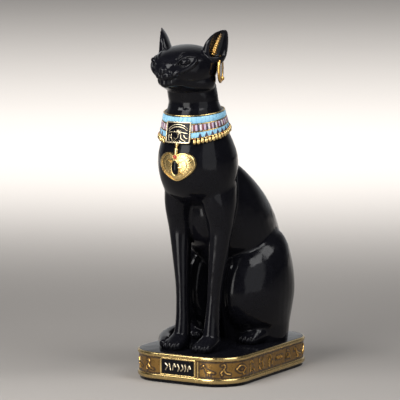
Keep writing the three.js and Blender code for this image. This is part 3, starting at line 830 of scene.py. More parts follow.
def cat_head():
    """Head, ears and neck, with the eyes, brows, nose and mouth."""
    sizes = bpy.context.scene.figure_sizes
    sides = [lump(*WHISKER_PAD), ear_shell(), hoop_web()]
    whole = [
        form([station for station in CHEST if station[2] >= NECK_FOOT]),
        form(SKULL, up=Z, power=SKULL_POWER),
        form(BRIDGE, up=Z),
        form(JAW, up=Z, power=SKULL_POWER),
        lump(*CHIN),
        lump(*MUZZLE),
        lump(*NOSE),
        both_sides(joined(sides)),
    ]
    head = cast(joined(whole), sizes.head_grain, CAST_ROUNDS)
    head = carved(head, both_sides(lump(*NOSTRIL)))
    head = carved(head, wires([on_face(head, *LIP_SPLIT)]))
    head = carved(head, both_sides(wires([on_face(head, *LIPS)])))
    # Each eye is a ball in a hollow.
    spot = on_face(head, [EYE, EYE], 1.0)[0][0] / MM
    head = carved(head, both_sides(lump(spot + Vector((0.4, -0.9, 0)), EYE_HOLLOW, EYE_TURN)))
    head = carved(head, both_sides(lump(spot + Vector((0, 1.0, 0)), EYE_BALL, EYE_TURN)), "UNION")
    lines = [on_face(head, points, radii, lift) for points, radii, lift in FACE_LINES]
    head = carved(head, both_sides(wires(lines)), "UNION")
    cast(head, sizes.face_grain, 4, sizes.head_faces)
    finished(head, "cat_head", black_lacquer())


def ear_tufts():
    """A ribbed gilt tuft stands in the hollow of each ear."""
    row = [Vector(p) for p in TUFT]
    path = []
    for i in range(TUFT_STEPS + 1):
        t = i / TUFT_STEPS
        body = min(1.2 + 6 * t, 1.95 - 1.3 * t)  # swells fast from its foot and thins slowly to its tip
        path.append((through(row, t) * MM, body * (1 + TUFT_RIB_DEPTH * math.cos(t * TUFT_RIBS * TURN))))
    tuft = both_sides(wires([path], sides=16))
    middle = [through(row, i / 40) * MM for i in range(41)]
    middle += [Vector((-p.x, p.y, p.z)) for p in middle]

    # Low between the ribs and at the thin ends, so that the darker colour shows there as painted shade.
    def height(place):
        near = min((place - p).length for p in middle)
        return (near / MM - 0.8) / 1.2

    finished(tuft, "ear_tufts", warm_gilt(), height)


def earrings():
    """Gilt hoops with a bead and a stud, one under each ear."""
    deselect()
    bpy.ops.mesh.primitive_torus_add(
        major_radius=HOOP_RADIUS * MM,
        minor_radius=HOOP_WIRE * MM,
        major_segments=64,
        minor_segments=14,
        **HOOP_PLACE,
    )
    hoop = settle(bpy.context.object)
    pair = both_sides(joined([hoop, lump(*HOOP_BEAD), lump(*HOOP_STUD)]))
    finished(pair, "earrings", warm_gilt(), 0.8)


# The collar

# The collar's edges: their height at a place y, and how fast they climb from there towards the back.
COLLAR_TOP = {"z": 155.4, "y": -32.2, "slant": 0.106}
COLLAR_FOOT = {"z": 142.2, "y": -31, "slant": 0.25}
# The cone that the collar lies on: its radius and middle at the collar's top, and how they change below it.
CONE = {"radius": 17.1, "widening": 0.236, "y": -32.2, "lean": 0.09}
# The dark bed under the beads: shares of the way down the collar, and reliefs.
BED = [(0, -2.5), *[(share, -0.1) for share in (0.02, 0.2, 0.4, 0.6, 0.8, 0.9)], (0.97, -0.2), (0.99, -1.2)]
BED_SIDES = 96
# Twisted cords: share of the way down the collar, radius, twists, mesh steps, and depth of the twist.
CORDS = [
    (0.02, 0.32, 70, 420, 0.05),
    (0.315, 0.24, 90, 540, 0.16),
    (0.585, 0.24, 90, 540, 0.16),
    (0.8, 0.26, 90, 540, 0.16),
]
ROPE_SIDES = 10
BAR_COLOURS = ["lavender", "purple", "white", "maroon"]
# Half sizes of the small beads along the collar's foot.
DOT = [0.5, 0.5, 0.5]
DROP_BEAD = [0.55, 0.75, 0.7]
DROP = [0.9, 1.12, 1.35]
SHADE_HEIGHT = 0.35  # the relief from which on the beads' paint counts as high; lower places get the darker colour as painted shade
PLATE = {"width": 16.2, "low": 137.8, "high": 150.2, "edge": 0.55}
PLATE_REACH = 0.47  # from the middle of the front to the plate's side, in radians round the neck
PLATE_FACE = 0.95  # relief of the plate's lines
# The plate from its back edge to its middle: shares of its outline, and reliefs.
PLATE_SECTION = [(1, -0.6), (1, 0.85), *[(share, 0.9) for share in (0.85, 0.7, 0.5, 0.3, 0.1, 0.02)]]


def collar_axis(z):
    """Radius and middle of the collar's cone at a height."""
    below = COLLAR_TOP["z"] - z
    return CONE["radius"] + below * CONE["widening"], CONE["y"] + below * CONE["lean"]


def edge_height(edge, y):
    """The height of the collar's top or foot at a place along Y."""
    return edge["z"] + edge["slant"] * (y - edge["y"])


def collar_point(share, relief, angle):
    """A place on the collar: the share of the way down it, the relief, and the angle round the neck."""
    z = COLLAR_TOP["z"]
    for _ in range(6):
        radius, middle = collar_axis(z)
        radius += relief
        y = middle + radius * math.sin(angle)
        top = edge_height(COLLAR_TOP, y)
        z = top + (edge_height(COLLAR_FOOT, y) - top) * share
    return Vector((radius * math.cos(angle), y, z)) * MM


def collar_height(angle):
    return (collar_point(0, 0, angle) - collar_point(1, 0, angle)).length / MM


def belt(section, segments):
    """A closed band round the neck, with a section of shares and reliefs for each angle."""
    rings = []
    for k in range(segments):
        angle = FRONT + k / segments * TURN
        rings.append([collar_point(share, relief, angle) for share, relief in section(angle)])
    return rolled(rings + rings[:1])


def rope(share, radius, twists, segments, depth):
    """A twisted cord round the collar."""

    def section(angle):
        tall = collar_height(angle)
        points = []
        for k in range(ROPE_SIDES):
            turn = k / ROPE_SIDES * TURN
            r = radius * (1 + depth * math.cos(2 * turn + twists * angle))
            points.append((share + r * math.sin(turn) / tall, 0.1 + r * math.cos(turn)))
        return points

    return belt(section, segments)


def row_of(first, last, relief, copies, gap, crown=0.0):
    """A band between two shares with a dip between each of its copies."""

    def section(angle):
        phase = ((angle - FRONT) / TURN * copies) % 1
        edge = min(phase, 1 - phase) / gap
        high = relief * (min(edge, 1) ** 0.5) + crown * math.sin(math.pi * phase)
        middle = (first + last) / 2
        return [
            (first, -0.4),
            (first + 0.004, high * 0.55),
            (first + 0.02, high),
            (middle, high + 0.06),
            (last - 0.02, high),
            (last - 0.004, high * 0.55),
            (last, -0.4),
        ]

    return belt(section, copies * 8)


def collar_core():
    """The dark bed that the rows of beads lie on."""
    rings = []
    for share, relief in BED:
        rings.append([collar_point(share, relief, (k + 0.5) / BED_SIDES * TURN) for k in range(BED_SIDES)])
    finished(rolled(rings), "collar_bed", black_lacquer())


def off_plate(angle):
    """Whether a bead at this angle stays clear of the plate at the front."""
    return abs((angle - FRONT + math.pi) % TURN - math.pi) > PLATE_REACH


def shade_by_height(place):
    """How high a place stands over the collar's cone, for the paints: the low places, between the beads, take
    the darker colour as painted shade.
    """
    radius, middle = collar_axis(place.z / MM)
    return (math.hypot(place.x / MM, place.y / MM - middle) - radius) / SHADE_HEIGHT


def around_collar(copies):
    """The angles round the neck of so many things, the middle of the front lying between two of them."""
    return [FRONT + (k + 0.5) / copies * TURN for k in range(copies)]


def drop(angle, lower):
    """A small gilt bead under the collar's lowest cord, and a flat gilt drop under it."""
    lean = (0.15, 0, angle)
    bead = lump(collar_point(0.845, 0.25, angle) / MM, DROP_BEAD, lean, segments=10, rings=8)
    centre = collar_point(0.925 + 0.012 * lower, 0.2 + 0.12 * lower, angle) / MM
    return [bead, lump(centre, DROP, lean, segments=12, rings=8)]


def collar_bars():
    """The row of bars, painted in four colours in turn."""
    copies = bpy.context.scene.figure_sizes.bars
    bars = row_of(0.34, 0.56, 0.22, copies, 0.2, crown=0.16)
    for name in BAR_COLOURS:
        bars.data.materials.append(bead_paint(name))
    for face in bars.data.polygons:
        _, middle = collar_axis(face.center.z / MM)
        angle = math.atan2(face.center.y / MM - middle, face.center.x / MM) - FRONT
        face.material_index = int((angle / TURN * copies) % copies) % len(BAR_COLOURS)
    # The low places between the bars take the purple as painted shade.
    finished(bars, "collar_bars", None, shade_by_height)


def collar_triangles():
    """The row of dark triangles on the lower turquoise band."""
    copies = bpy.context.scene.figure_sizes.triangles
    half = 0.5 / copies * TURN * 0.62
    corners = [(0.79, -half), (0.79, half), (0.62, 0)]
    triangles = []
    for angle in filter(off_plate, around_collar(copies)):
        rings = []
        for relief in (0, 0.46):
            rings.append([collar_point(share, relief, angle + turn) for share, turn in corners])
        triangles.append(rolled(rings))
    finished(joined(triangles), "collar_triangles", bead_paint("purple"), 0.8)


def collar_drops():
    """The gilt drops along the collar's foot, with a red dot at every fourth."""
    drops, dots = [], []
    for k, angle in enumerate(around_collar(bpy.context.scene.figure_sizes.drops)):
        if off_plate(angle):
            drops += drop(angle, k % 2)
            if k % 4 == 0:
                dots.append(lump(collar_point(0.835, 0.55, angle) / MM, DOT, segments=10, rings=6))
    # The drops' low places take the dark colour as painted shade.
    finished(joined(drops), "collar_drops", gilt(), shade_by_height)
    finished(joined(dots), "collar_dots", bead_paint("red"), 0.8)


def collar_rows():
    """The collar's cords and rows: turquoise blocks, bars, turquoise with triangles, and gilt drops."""
    sizes = bpy.context.scene.figure_sizes
    turquoise = bead_paint("turquoise", "deep_blue")
    finished(joined([rope(*cord) for cord in CORDS]), "collar_cords", gilt(), 0.8)
    # The turquoise rows take the darker blue in their low places, between and along the blocks, as painted
    # shade.
    blocks = row_of(0.06, 0.295, 0.34, sizes.blocks, 0.1)
    finished(blocks, "turquoise_blocks", turquoise, shade_by_height)
    collar_bars()
    band = row_of(0.61, 0.785, 0.26, sizes.triangles, 0.04)
    finished(band, "turquoise_band", turquoise, shade_by_height)
    collar_triangles()
    collar_drops()


def plate_point(x, z, relief):
    """A place on the plate: across and up it in millimetres, and its relief from the collar's cone."""
    radius, middle = collar_axis(z)
    return Vector((x, middle - math.sqrt((radius + relief) ** 2 - x**2), z)) * MM


def plaque(outline, surface, profile, middle):
    """A plate laid on a curved surface. The profile runs from its back edge to its middle."""
    rings = []
    for share, relief in profile:
        rings.append([surface(x * share, middle + z * share, relief) for x, z in outline])
    return rolled(rings)


def rounded_rectangle(half_width, half_height, corner, steps=6, between=16):
    """The outline of a rectangle with rounded corners, and with points on its sides so that it can bend."""
    corners = []
    for quarter, (sx, sz) in enumerate([(1, 1), (-1, 1), (-1, -1), (1, -1)]):
        middle = Vector((sx * (half_width - corner), sz * (half_height - corner)))
        for k in range(steps + 1):
            angle = (quarter + k / steps) * math.pi / 2
            corners.append(middle + Vector((math.cos(angle), math.sin(angle))) * corner)
    points = []
    for k, point in enumerate(corners):
        points.append(tuple(point))
        if k % (steps + 1) == steps:
            after = corners[(k + 1) % len(corners)]
            points += [tuple(point.lerp(after, i / between)) for i in range(1, between)]
    return points


# Raised lines of the plate's winged sign: places [x, z] from its middle, in millimetres.
PLATE_LINES = [
    [(-6.0, 1.7), (-3.2, 3.8), (0.4, 4.5), (4.0, 3.8), (6.2, 2.2)],
    [(-5.7, 0.7), (-2.8, 2.6), (0.6, 3.2), (3.8, 2.6), (6.2, 1.0)],
    [(-5.9, -0.2), (-2.4, 0.3), (2.2, 0.2), (6.2, -0.5)],
    [(-5.4, -1.0), (-5.6, -3.0), (-5.2, -5.0)],
    [(-3.6, -0.9), (-3.9, -2.9), (-2.4, -4.7), (0.4, -5.2)],
    [(0.8, -0.9), (0.6, -2.7), (-0.9, -3.7), (-2.1, -2.9)],
    [(2.4, -1.2), (2.8, -3.4), (5.4, -4.9)],
    [(4.2, -1.3), (4.9, -2.7), (6.3, -3.3)],
    [(1.6, -4.6), (3.2, -5.3)],
]
PLATE_STAR = (1.0, 0.3)
STAR_RAYS = 8


def collar_plate():
    """The framed dark plate at the front of the collar, with a winged sign in thin raised lines."""
    middle = (PLATE["low"] + PLATE["high"]) / 2
    half = (PLATE["width"] / 2 - PLATE["edge"], (PLATE["high"] - PLATE["low"]) / 2 - PLATE["edge"])
    outline = rounded_rectangle(*half, 0.5)
    field = plaque(outline, plate_point, PLATE_SECTION, middle)
    finished(field, "plate_field", black_lacquer())
    edge = [(plate_point(x, middle + z, PLATE_FACE), 0.44) for x, z in outline]
    finished(wires([edge], closed=True, sides=12), "plate_frame", pale_gilt(), 0.85)

    def stroke(points, radius):
        read = path_of([(x, 0, z) for x, z in points], radius, 6)
        return [(plate_point(place.x / MM, middle + place.z / MM, PLATE_FACE), size) for place, size in read]

    lines = [stroke(points, 0.21) for points in PLATE_LINES]
    for k in range(STAR_RAYS):
        angle = k / STAR_RAYS * TURN
        tip = (PLATE_STAR[0] + 1.7 * math.cos(angle), PLATE_STAR[1] + 1.5 * math.sin(angle))
        lines.append(stroke([PLATE_STAR, tip], 0.18))
    finished(wires(lines), "plate_ornament", pale_gilt(), 0.8)


# The pendant

HEART = {"z": 124.6, "half_width": 11.7, "half_height": 8.2}
STONE_Z = HEART["z"] - 0.4
# The rim, as shares of the outline and reliefs, and the field inside it.
RIM = [(1, -0.5), (1, 1.0), (0.985, 1.4), (0.955, 1.55), (0.92, 1.5), (0.9, 1.2), (0.885, 0.9)]
FIELD_EDGE = 0.885
FIELD_ROWS = 64
STONE_CLAWS = [(3.1, 3.2, 1.3), (0.2, 2.3, 0.2), (-2.8, 2.6, -1.2)]  # height, reach and rise
# The link's beads, from the plate down to the heart's top.
LINK = [(0, -51.5, 138.4), (0, -52.0, 137.0), (0, -52.4, 135.8), (0, -52.9, 134.2)]
LINK_RADII = [0.95, 1.15, 0.6, 1.15, 0.8]


def chest_front(x, z, relief):
    """The chest's surface straight in front of a place given by x and z, grown by a relief."""
    row = [Vector(station) for station in CHEST]
    inside, outside = 0.0, 1.0
    for _ in range(24):
        t = (inside + outside) / 2
        if through(row, t)[2] > z:
            inside = t
        else:
            outside = t
    _, y, _, a, b = through(row, inside)
    a, b = a + relief, b + relief
    return Vector((x, y - b * math.sqrt(max(1 - (x / a) ** 2, 0)), z)) * MM


def bezier(a, b, c, d, t):
    return a * (1 - t) ** 3 + b * 3 * t * (1 - t) ** 2 + c * 3 * t * t * (1 - t) + d * t**3


def heart_outline(steps=60):
    """The heart's outline as places [x, z] about its middle."""
    w, h = HEART["half_width"], HEART["half_height"]
    curves = [
        [(0, 0.74), (0.16, 1.04), (0.58, 1.12), (0.84, 0.72)],
        [(0.84, 0.72), (1.08, 0.34), (0.98, -0.2), (0.62, -0.58)],
        [(0.62, -0.58), (0.42, -0.79), (0.2, -1), (0, -1)],
    ]
    right = []
    for curve in curves:
        a, b, c, d = (Vector((w * x, h * z)) for x, z in curve)
        right += [bezier(a, b, c, d, k / steps) for k in range(steps)]
    left = [Vector((-p.x, p.y)) for p in reversed(right[1:])]
    return [tuple(p) for p in [*right, Vector((0, -h)), *left]]


def feathering(share, place):
    """The height of the heart's pattern, 0 to 1: ticks round its edge, and arcs or scales inside them."""
    wave = 0.5 + 0.5 * math.cos(TURN * 34 * place)
    if share > 0.84 or 0.6 < share < 0.64:
        return 0.0
    if share >= 0.64:
        return wave**0.4
    if share < 0.34:
        return 0.45
    rows = (share - 0.34) / 0.085
    arcs = 0.5 - 0.5 * math.cos(TURN * rows)
    if place > 0.5:
        return arcs**0.4
    scales = 0.5 + 0.5 * math.cos(TURN * (26 * place + 0.5 * int(rows)))
    return (arcs * scales) ** 0.3


def heart_field():
    """The gilt heart with its rim and its feathered field."""
    outline = heart_outline()
    field = [(FIELD_EDGE * (1 - k / (FIELD_ROWS + 1)), None) for k in range(1, FIELD_ROWS + 1)]
    rings, known = [], {}

    def key(place):
        return tuple(round(v * 1e7) for v in place)

    for share, relief in RIM + field:
        points = []
        for k, (x, z) in enumerate(outline):
            # The rim's top gets full paint and its inner foot the darker colour, as painted shade. In the
            # field, the darker colour marks the pattern's lines.
            high, worth = relief, float(share > 0.9)
            if relief is None:
                pattern = feathering(share, k / len(outline))
                high, worth = 0.95 + 0.08 * pattern, 0.1 + 0.75 * pattern
            points.append(chest_front(x * share, HEART["z"] + z * share, high))
            known[key(points[-1])] = worth
        rings.append(points)
    finished(rolled(rings), "heart", gilt(), lambda place: known.get(key(place), 0.5))


def heart_stone():
    """The dark oval stone in its ring, with three short claws on each side."""
    stone = lump((0, -53.9, STONE_Z), [2.1, 1.7, 4.1])
    finished(stone, "heart_stone", black_lacquer())
    ring_path, claw_paths = [], []
    for k in range(48):
        angle = k / 48 * TURN
        ring_path.append((chest_front(2.45 * math.sin(angle), STONE_Z + 4.5 * math.cos(angle), 1.35), 0.4))
    for side in (-1, 1):
        for high, reach, rise in STONE_CLAWS:
            near = chest_front(side * 2.3, STONE_Z + high, 1.5)
            far = chest_front(side * (2.3 + reach), STONE_Z + high + rise, 1.45)
            claw_paths.append([(near, 0.5), (near.lerp(far, 0.5), 0.42), (far, 0.15)])
    setting = joined([wires([ring_path], closed=True), wires(claw_paths)])
    finished(setting, "stone_setting", gilt(), 0.9)


def heart_pendant():
    """The heart, its stone, and the red bead and the link that it hangs from."""
    heart_field()
    heart_stone()
    foot = HEART["z"] + 0.8 * HEART["half_height"]
    link = wires([path_of([*LINK, (0, -53.5, foot)], LINK_RADII)], sides=16)
    finished(link, "pendant_link", gilt(), 0.9)
    bead = lump((0, -54.3, foot - 0.9), [1.15, 1.0, 1.15])
    finished(bead, "pendant_bead", bead_paint("red"), 0.9)


# The plinth


def slab(inset, low, high, rounding, segments=4):
    """A slab with the plinth's outline, moved in by inset, between two heights, its long edges rounded."""
    sizes = bpy.context.scene.figure_sizes
    deselect()
    bpy.ops.mesh.primitive_cube_add(size=1, location=(0, 0, (low + high) / 2))
    piece = bpy.context.object
    piece.scale = (sizes.plinth_width - 2 * inset, sizes.plinth_length - 2 * inset, high - low)
    settle(piece)
    bpy.ops.object.mode_set(mode="EDIT")
    bpy.ops.mesh.select_mode(type="EDGE")
    bpy.ops.mesh.select_all(action="DESELECT")
    bpy.ops.object.mode_set(mode="OBJECT")
    for edge in piece.data.edges:
        a, b = (piece.data.vertices[k].co for k in edge.vertices)
        edge.select = abs(a.z - b.z) > 0.5 * (high - low)
    bpy.ops.object.mode_set(mode="EDIT")
    bpy.ops.mesh.bevel(offset=sizes.corner - inset, segments=24, affect="EDGES")
    bpy.ops.object.mode_set(mode="OBJECT")
    return applied(
        piece, "BEVEL", width=rounding, segments=segments, limit_method="ANGLE", angle_limit=math.radians(60)
    )


def along_frieze(s):
    """The place and heading of a point that is s metres along the frieze from the middle of the front."""
    sizes = bpy.context.scene.figure_sizes
    r = sizes.corner - sizes.frieze_depth
    a = sizes.plinth_width / 2 - sizes.frieze_depth
    b = sizes.plinth_length / 2 - sizes.frieze_depth
    quarter = r * math.pi / 2
    straights = [a - r, 2 * (b - r), 2 * (a - r), 2 * (b - r), a - r]
    rest = s % (sum(straights) + 4 * quarter)
    corners = [(a - r, -b + r), (a - r, b - r), (-a + r, b - r), (-a + r, -b + r)]
    starts = [(0, -b), (a, -b + r), (a - r, b), (-a, b - r), (-a + r, -b)]
    for k, run in enumerate(straights):
        ahead = k * math.pi / 2
        if rest <= run or k == 4:
            x, y = starts[k]
            return Vector((x + rest * math.cos(ahead), y + rest * math.sin(ahead))), ahead
        rest -= run
        if rest < quarter:
            angle = ahead - math.pi / 2 + rest / r
            return Vector(corners[k]) + Vector((math.cos(angle), math.sin(angle))) * r, angle + math.pi / 2
        rest -= quarter
    raise RuntimeError("a place along the frieze wasn't found")


# Signs in the place of writing, drawn in shares of the frieze's height. Each stroke is a row of places
# [along, up]. None is a letter, and they spell nothing.
SIGNS = [
    [
        [(0.1, 0.64), (0.26, 0.76), (0.38, 0.58), (0.56, 0.46), (0.92, 0.34)],
        [(0.38, 0.58), (0.46, 0.38), (0.7, 0.36)],
        [(0.5, 0.36), (0.5, 0.16)],
        [(0.62, 0.36), (0.64, 0.16)],
    ],
    [
        [(0.2, 0.78), (0.36, 0.84), (0.44, 0.7), (0.36, 0.54), (0.5, 0.32), (0.74, 0.26)],
        [(0.36, 0.54), (0.2, 0.38), (0.24, 0.2)],
    ],
    [
        [(0.04, 0.5), (0.28, 0.7), (0.6, 0.7), (0.86, 0.5)],
        [(0.04, 0.5), (0.3, 0.34), (0.6, 0.34), (0.86, 0.5)],
        [(0.4, 0.5), (0.5, 0.52)],
        [(0.56, 0.34), (0.62, 0.16), (0.8, 0.2)],
    ],
    [
        [(0.2, 0.16), (0.24, 0.5), (0.3, 0.76), (0.46, 0.84), (0.56, 0.68)],
        [(0.42, 0.2), (0.6, 0.36), (0.76, 0.22)],
    ],
    [
        [(0.18, 0.82), (0.26, 0.56), (0.18, 0.34), (0.34, 0.16)]
        + [(0.54, 0.16), (0.68, 0.34), (0.6, 0.56), (0.68, 0.82)],
        [(0.28, 0.6), (0.58, 0.6)],
    ],
    [[(0.3, 0.14), (0.28, 0.5), (0.42, 0.84), (0.54, 0.62), (0.34, 0.42)], [(0.66, 0.2), (0.7, 0.46)]],
    [
        [(0.04, 0.46), (0.16, 0.6), (0.28, 0.44), (0.4, 0.6)]
        + [(0.52, 0.44), (0.64, 0.6), (0.76, 0.44), (0.88, 0.58)],
    ],
    [
        [(0.12, 0.28), (0.28, 0.6), (0.54, 0.6), (0.7, 0.28)],
        [(0.32, 0.3), (0.34, 0.42)],
        [(0.48, 0.3), (0.5, 0.42)],
        [(0.28, 0.8), (0.52, 0.76)],
    ],
]
SIGN_PITCH = 1.1  # from one sign to the next, as a share of the frieze's height
SIGN_WIRE = 0.42
PANEL_STROKES = [
    [(-8.3, 0.7), (-6.8, 0.54), (-8.1, 0.3)],
    [(-5.6, 0.72), (-4.6, 0.3)],
    [(-3.4, 0.32), (-2.4, 0.7), (-1.3, 0.5)],
    [(-0.2, 0.7), (0.8, 0.48), (0.1, 0.28)],
    [(2.0, 0.3), (3.5, 0.48), (2.6, 0.7)],
    [(4.7, 0.72), (5.3, 0.5), (4.6, 0.3)],
    [(6.5, 0.32), (7.5, 0.66), (8.5, 0.46)],
]
PANEL_WIRE = 0.37
PANEL_FRAME = 0.5  # from the panel's edge to the middle of its frame
RIB_GAP = 1.9  # from the panel's frame to the upright rib beside it
SIGN_MARGIN = 1.2  # from the rib to the first sign
SIGN_LIFT = 0.05  # from the frieze's ground to the middle of a sign's wire
FRIEZE_STEP = 0.55  # size of the frieze's mesh
GROUND_HEIGHT = 0.85
# Where the frieze's ground comes clear of its painted shade, round the signs and at its edges: a distance,
# and how far it takes from there.
SIGN_SHADE = (0.75, 0.85)
EDGE_SHADE = (0.2, 1.1)


def sign_paths(start, end, base, tall):
    """The paths of the signs between two places along the frieze."""
    copies = int((end - start) / (tall * SIGN_PITCH))
    pitch = (end - start) / copies
    paths = []
    for i in range(copies):
        for points in SIGNS[i % len(SIGNS)]:
            path = []
            for place, radius in path_of([(along, up, 0) for along, up in points], SIGN_WIRE, 5):
                flat, ahead = along_frieze(start + i * pitch + place.x / MM * tall)
                outward = Vector((math.sin(ahead), -math.cos(ahead))) * SIGN_LIFT * MM
                path.append((Vector((*(flat + outward), base + place.y / MM * tall)), radius))
            paths.append(path)
    return paths


def frieze_ground(around, base, top, marks):
    """The frieze's ground as a fine band, with painted shade gathered at its edges and round the signs."""
    columns = int(around / (FRIEZE_STEP * MM))
    rows = int((top - base) / (FRIEZE_STEP * MM)) + 2
    outline = [along_frieze(k / columns * around)[0] for k in range(columns)]
    rings = []
    for row in range(rows + 1):
        z = base + (top - base) * row / rows
        rings.append([Vector((*flat, z)) for flat in outline])
    tree = KDTree(len(marks))
    for k, place in enumerate(marks):
        tree.insert(place, k)
    tree.balance()

    # Low near the signs and the edges, where the darker colour shows as painted shade.
    def ground(place):
        _, _, near = tree.find(place)
        edge = min(place.z - base, top - place.z) / MM
        return GROUND_HEIGHT * min(rising(near / MM, *SIGN_SHADE), rising(edge, *EDGE_SHADE))

    finished(rolled(rings), "frieze", old_gilt(), ground)


def plinth_slabs(base, top):
    """The plinth's black foot and deck, and its two gilt mouldings."""
    sizes = bpy.context.scene.figure_sizes
    foot = slab(sizes.foot_inset, 0, sizes.foot_height + 0.5 * MM, 0.2 * MM)
    deck = slab(0.9 * MM, sizes.plinth_height - 1.4 * MM, sizes.plinth_height, 0.4 * MM)
    finished(joined([foot, deck]), "plinth_black", black_lacquer())
    lower = slab(0, sizes.foot_height, base, 1.15 * MM, 7)
    upper = slab(0, top, sizes.plinth_height - 0.12 * MM, 1.1 * MM, 7)

    # Low where the mouldings meet the frieze and the foot, so that they are darker there as painted shade.
    def shade_at_joins(place):
        near = min(abs(place.z - level) for level in (base, top, sizes.foot_height))
        return min(near / (0.7 * MM), 1)

    finished(joined([lower, upper]), "plinth_mouldings", moulding_gilt(), shade_at_joins)


def front_panel(base, top):
    """The dark panel with its frame and strokes, and the upright rib beside it. Gives back the rib's ends."""
    sizes = bpy.context.scene.figure_sizes
    tall, middle = top - base, (base + top) / 2
    half_panel = sizes.panel_width / 2
    front = -sizes.plinth_length / 2 + sizes.frieze_depth
    panel = block((0, front / MM, middle / MM), (half_panel / MM, 0.15, tall / 2 / MM))
    finished(panel, "panel_field", black_lacquer())
    edge = rounded_rectangle(half_panel / MM + PANEL_FRAME, tall / 2 / MM - 0.1, 0.6)
    frame_path = [(Vector((x * MM, front - 0.1 * MM, middle + z * MM)), 0.58) for x, z in edge]
    ribs = [wires([frame_path], closed=True, sides=12)]
    rib_x = half_panel + (PANEL_FRAME + RIB_GAP) * MM  # on one side only
    rib = [Vector((rib_x, front - 0.05 * MM, middle + side * (tall / 2 - 0.3 * MM))) for side in (-1, 1)]
    ribs.append(wires([[(place, 0.5) for place in rib]], sides=12))
    finished(joined(ribs), "panel_frame", gilt(), 0.9)
    strokes = []
    for points in PANEL_STROKES:
        row = [(x, front / MM - 0.2, base / MM + share * tall / MM) for x, share in points]
        strokes.append(path_of(row, PANEL_WIRE, 6))
    finished(wires(strokes), "panel_strokes", pale_gilt(), 0.85)
    return rib


def plinth():
    """The plinth: black top and foot, two gilt mouldings, and the frieze with its signs and front panel."""
    sizes = bpy.context.scene.figure_sizes
    base = sizes.foot_height + sizes.lower_moulding
    top = sizes.plinth_height - sizes.upper_moulding
    plinth_slabs(base, top)
    low, high = front_panel(base, top)
    straight = 2 * (sizes.plinth_width + sizes.plinth_length - 4 * sizes.corner)
    around = straight + TURN * (sizes.corner - sizes.frieze_depth)
    clear = sizes.panel_width / 2 + (PANEL_FRAME + RIB_GAP + SIGN_MARGIN) * MM
    paths = sign_paths(clear, around - clear + RIB_GAP * MM, base, top - base)
    marks = [place for path in paths for place, _ in path]
    marks += [low.lerp(high, k / 12) for k in range(13)]
    frieze_ground(around, base, top, marks)
    finished(wires(paths), "frieze_signs", warm_gilt(), 0.5)


# The studio

VIEW_AZIMUTH = 30
VIEW_ELEVATION = 7
VIEW_DISTANCE = 1.6
VIEW_TARGET = Vector((-11.3, -6.5, 100.2)) * MM
LENS = 248
FIGURE_MIDDLE = Vector((0, 0, 0.1))
ROOM_RANGE = {"From_Min": 0.4, "From_Max": 0.98, "To_Min": 0.03, "To_Max": 0.55}


def heading(azimuth, elevation):
    """The direction from the figure towards a camera or a light."""
    a, e = math.radians(azimuth), math.radians(elevation)
    return Vector((math.sin(a) * math.cos(e), -math.cos(a) * math.cos(e), math.sin(e)))


def lamp(name, kind, place, away, **settings):
    """A lamp at a place, with its back turned in the direction away."""
    light = bpy.data.lights.new(name, kind)
    for key, value in settings.items():
        setattr(light, key, value)
    made = bpy.data.objects.new(name, light)
    bpy.context.scene.collection.objects.link(made)
    made.location = place
    made.rotation_euler = away.to_track_quat("Z", "Y").to_euler()


def softbox(name, azimuth, elevation, distance, *panel):
    """A panel light that faces the figure."""
    towards = heading(azimuth, elevation)
    panel_light(name, FIGURE_MIDDLE + towards * distance, towards, *panel)


def panel_light(name, place, away, width, height, radiance, warmth=(1, 1, 1)):
    """A soft panel light. Its power comes from how bright it looks."""
    power = radiance * math.pi * width * height
    lamp(name, "AREA", place, away, shape="RECTANGLE", size=width, size_y=height, energy=power, color=warmth)


def standing_softbox(name, azimuth, distance, width, height, radiance, warmth):
    """An upright panel light that stands just off the floor."""
    towards = heading(azimuth, 0)
    place = towards * distance + Z * (height / 2 + 0.004)
    panel_light(name, place, towards, width, height, radiance, warmth)


def backdrop_light(power):
    """A wide lamp over the figure that lights the floor behind it, and not the figure."""
    place = Z * 3
    away = place + heading(VIEW_AZIMUTH, 0) * 2.6
    beam = {"spot_size": math.radians(72), "spot_blend": 0.8, "shadow_soft_size": 0.3}
    lamp("backdrop light", "SPOT", place, away, energy=power, **beam)


def floor_finish():
    """Matt pale floor with hardly any tone of its own."""
    material, tree, shader = new_material("pale floor")
    pale = bpy.context.scene.figure_colours.floor
    place = node(tree, "TexCoord").outputs["Object"]
    mottle = node(tree, "TexNoise", Vector=place, Scale=3.0, Detail=3.0).outputs["Fac"]
    mottled = tint(tree, [value * 0.97 for value in pale], pale, mottle)
    fill(tree, shader, {"Base Color": mottled, "Roughness": 0.9, "Specular IOR Level": 0.1})
    return material


def room_light():
    """Even room light, paler behind the figure than on the camera's side."""
    world = bpy.context.scene.world = bpy.data.worlds.new("room light")
    world.use_nodes = True
    tree = world.node_tree
    place = node(tree, "TexCoord").outputs["Generated"]
    back = -heading(VIEW_AZIMUTH, 0)
    behind = node(tree, "VectorMath", place, back, operation="DOT_PRODUCT").outputs["Value"]
    spread = node(tree, "MapRange", interpolation_type="SMOOTHSTEP", Value=behind, **ROOM_RANGE)
    room = {"Color": (0.97, 0.985, 1, 1), "Strength": spread.outputs["Result"]}
    fill(tree, tree.nodes["Background"], room)


def photograph_camera():
    """The camera at the photograph's angle."""
    camera = bpy.data.objects.new("camera", bpy.data.cameras.new("camera"))
    bpy.context.scene.collection.objects.link(camera)
    towards = heading(VIEW_AZIMUTH, VIEW_ELEVATION)
    camera.location = VIEW_TARGET + towards * VIEW_DISTANCE
    camera.rotation_euler = (-towards).to_track_quat("-Z", "Y").to_euler()
    camera.data.lens = LENS
    camera.data.sensor_width = 36
    camera.data.clip_start = 0.05
    camera.data.clip_end = 40
    bpy.context.scene.camera = camera


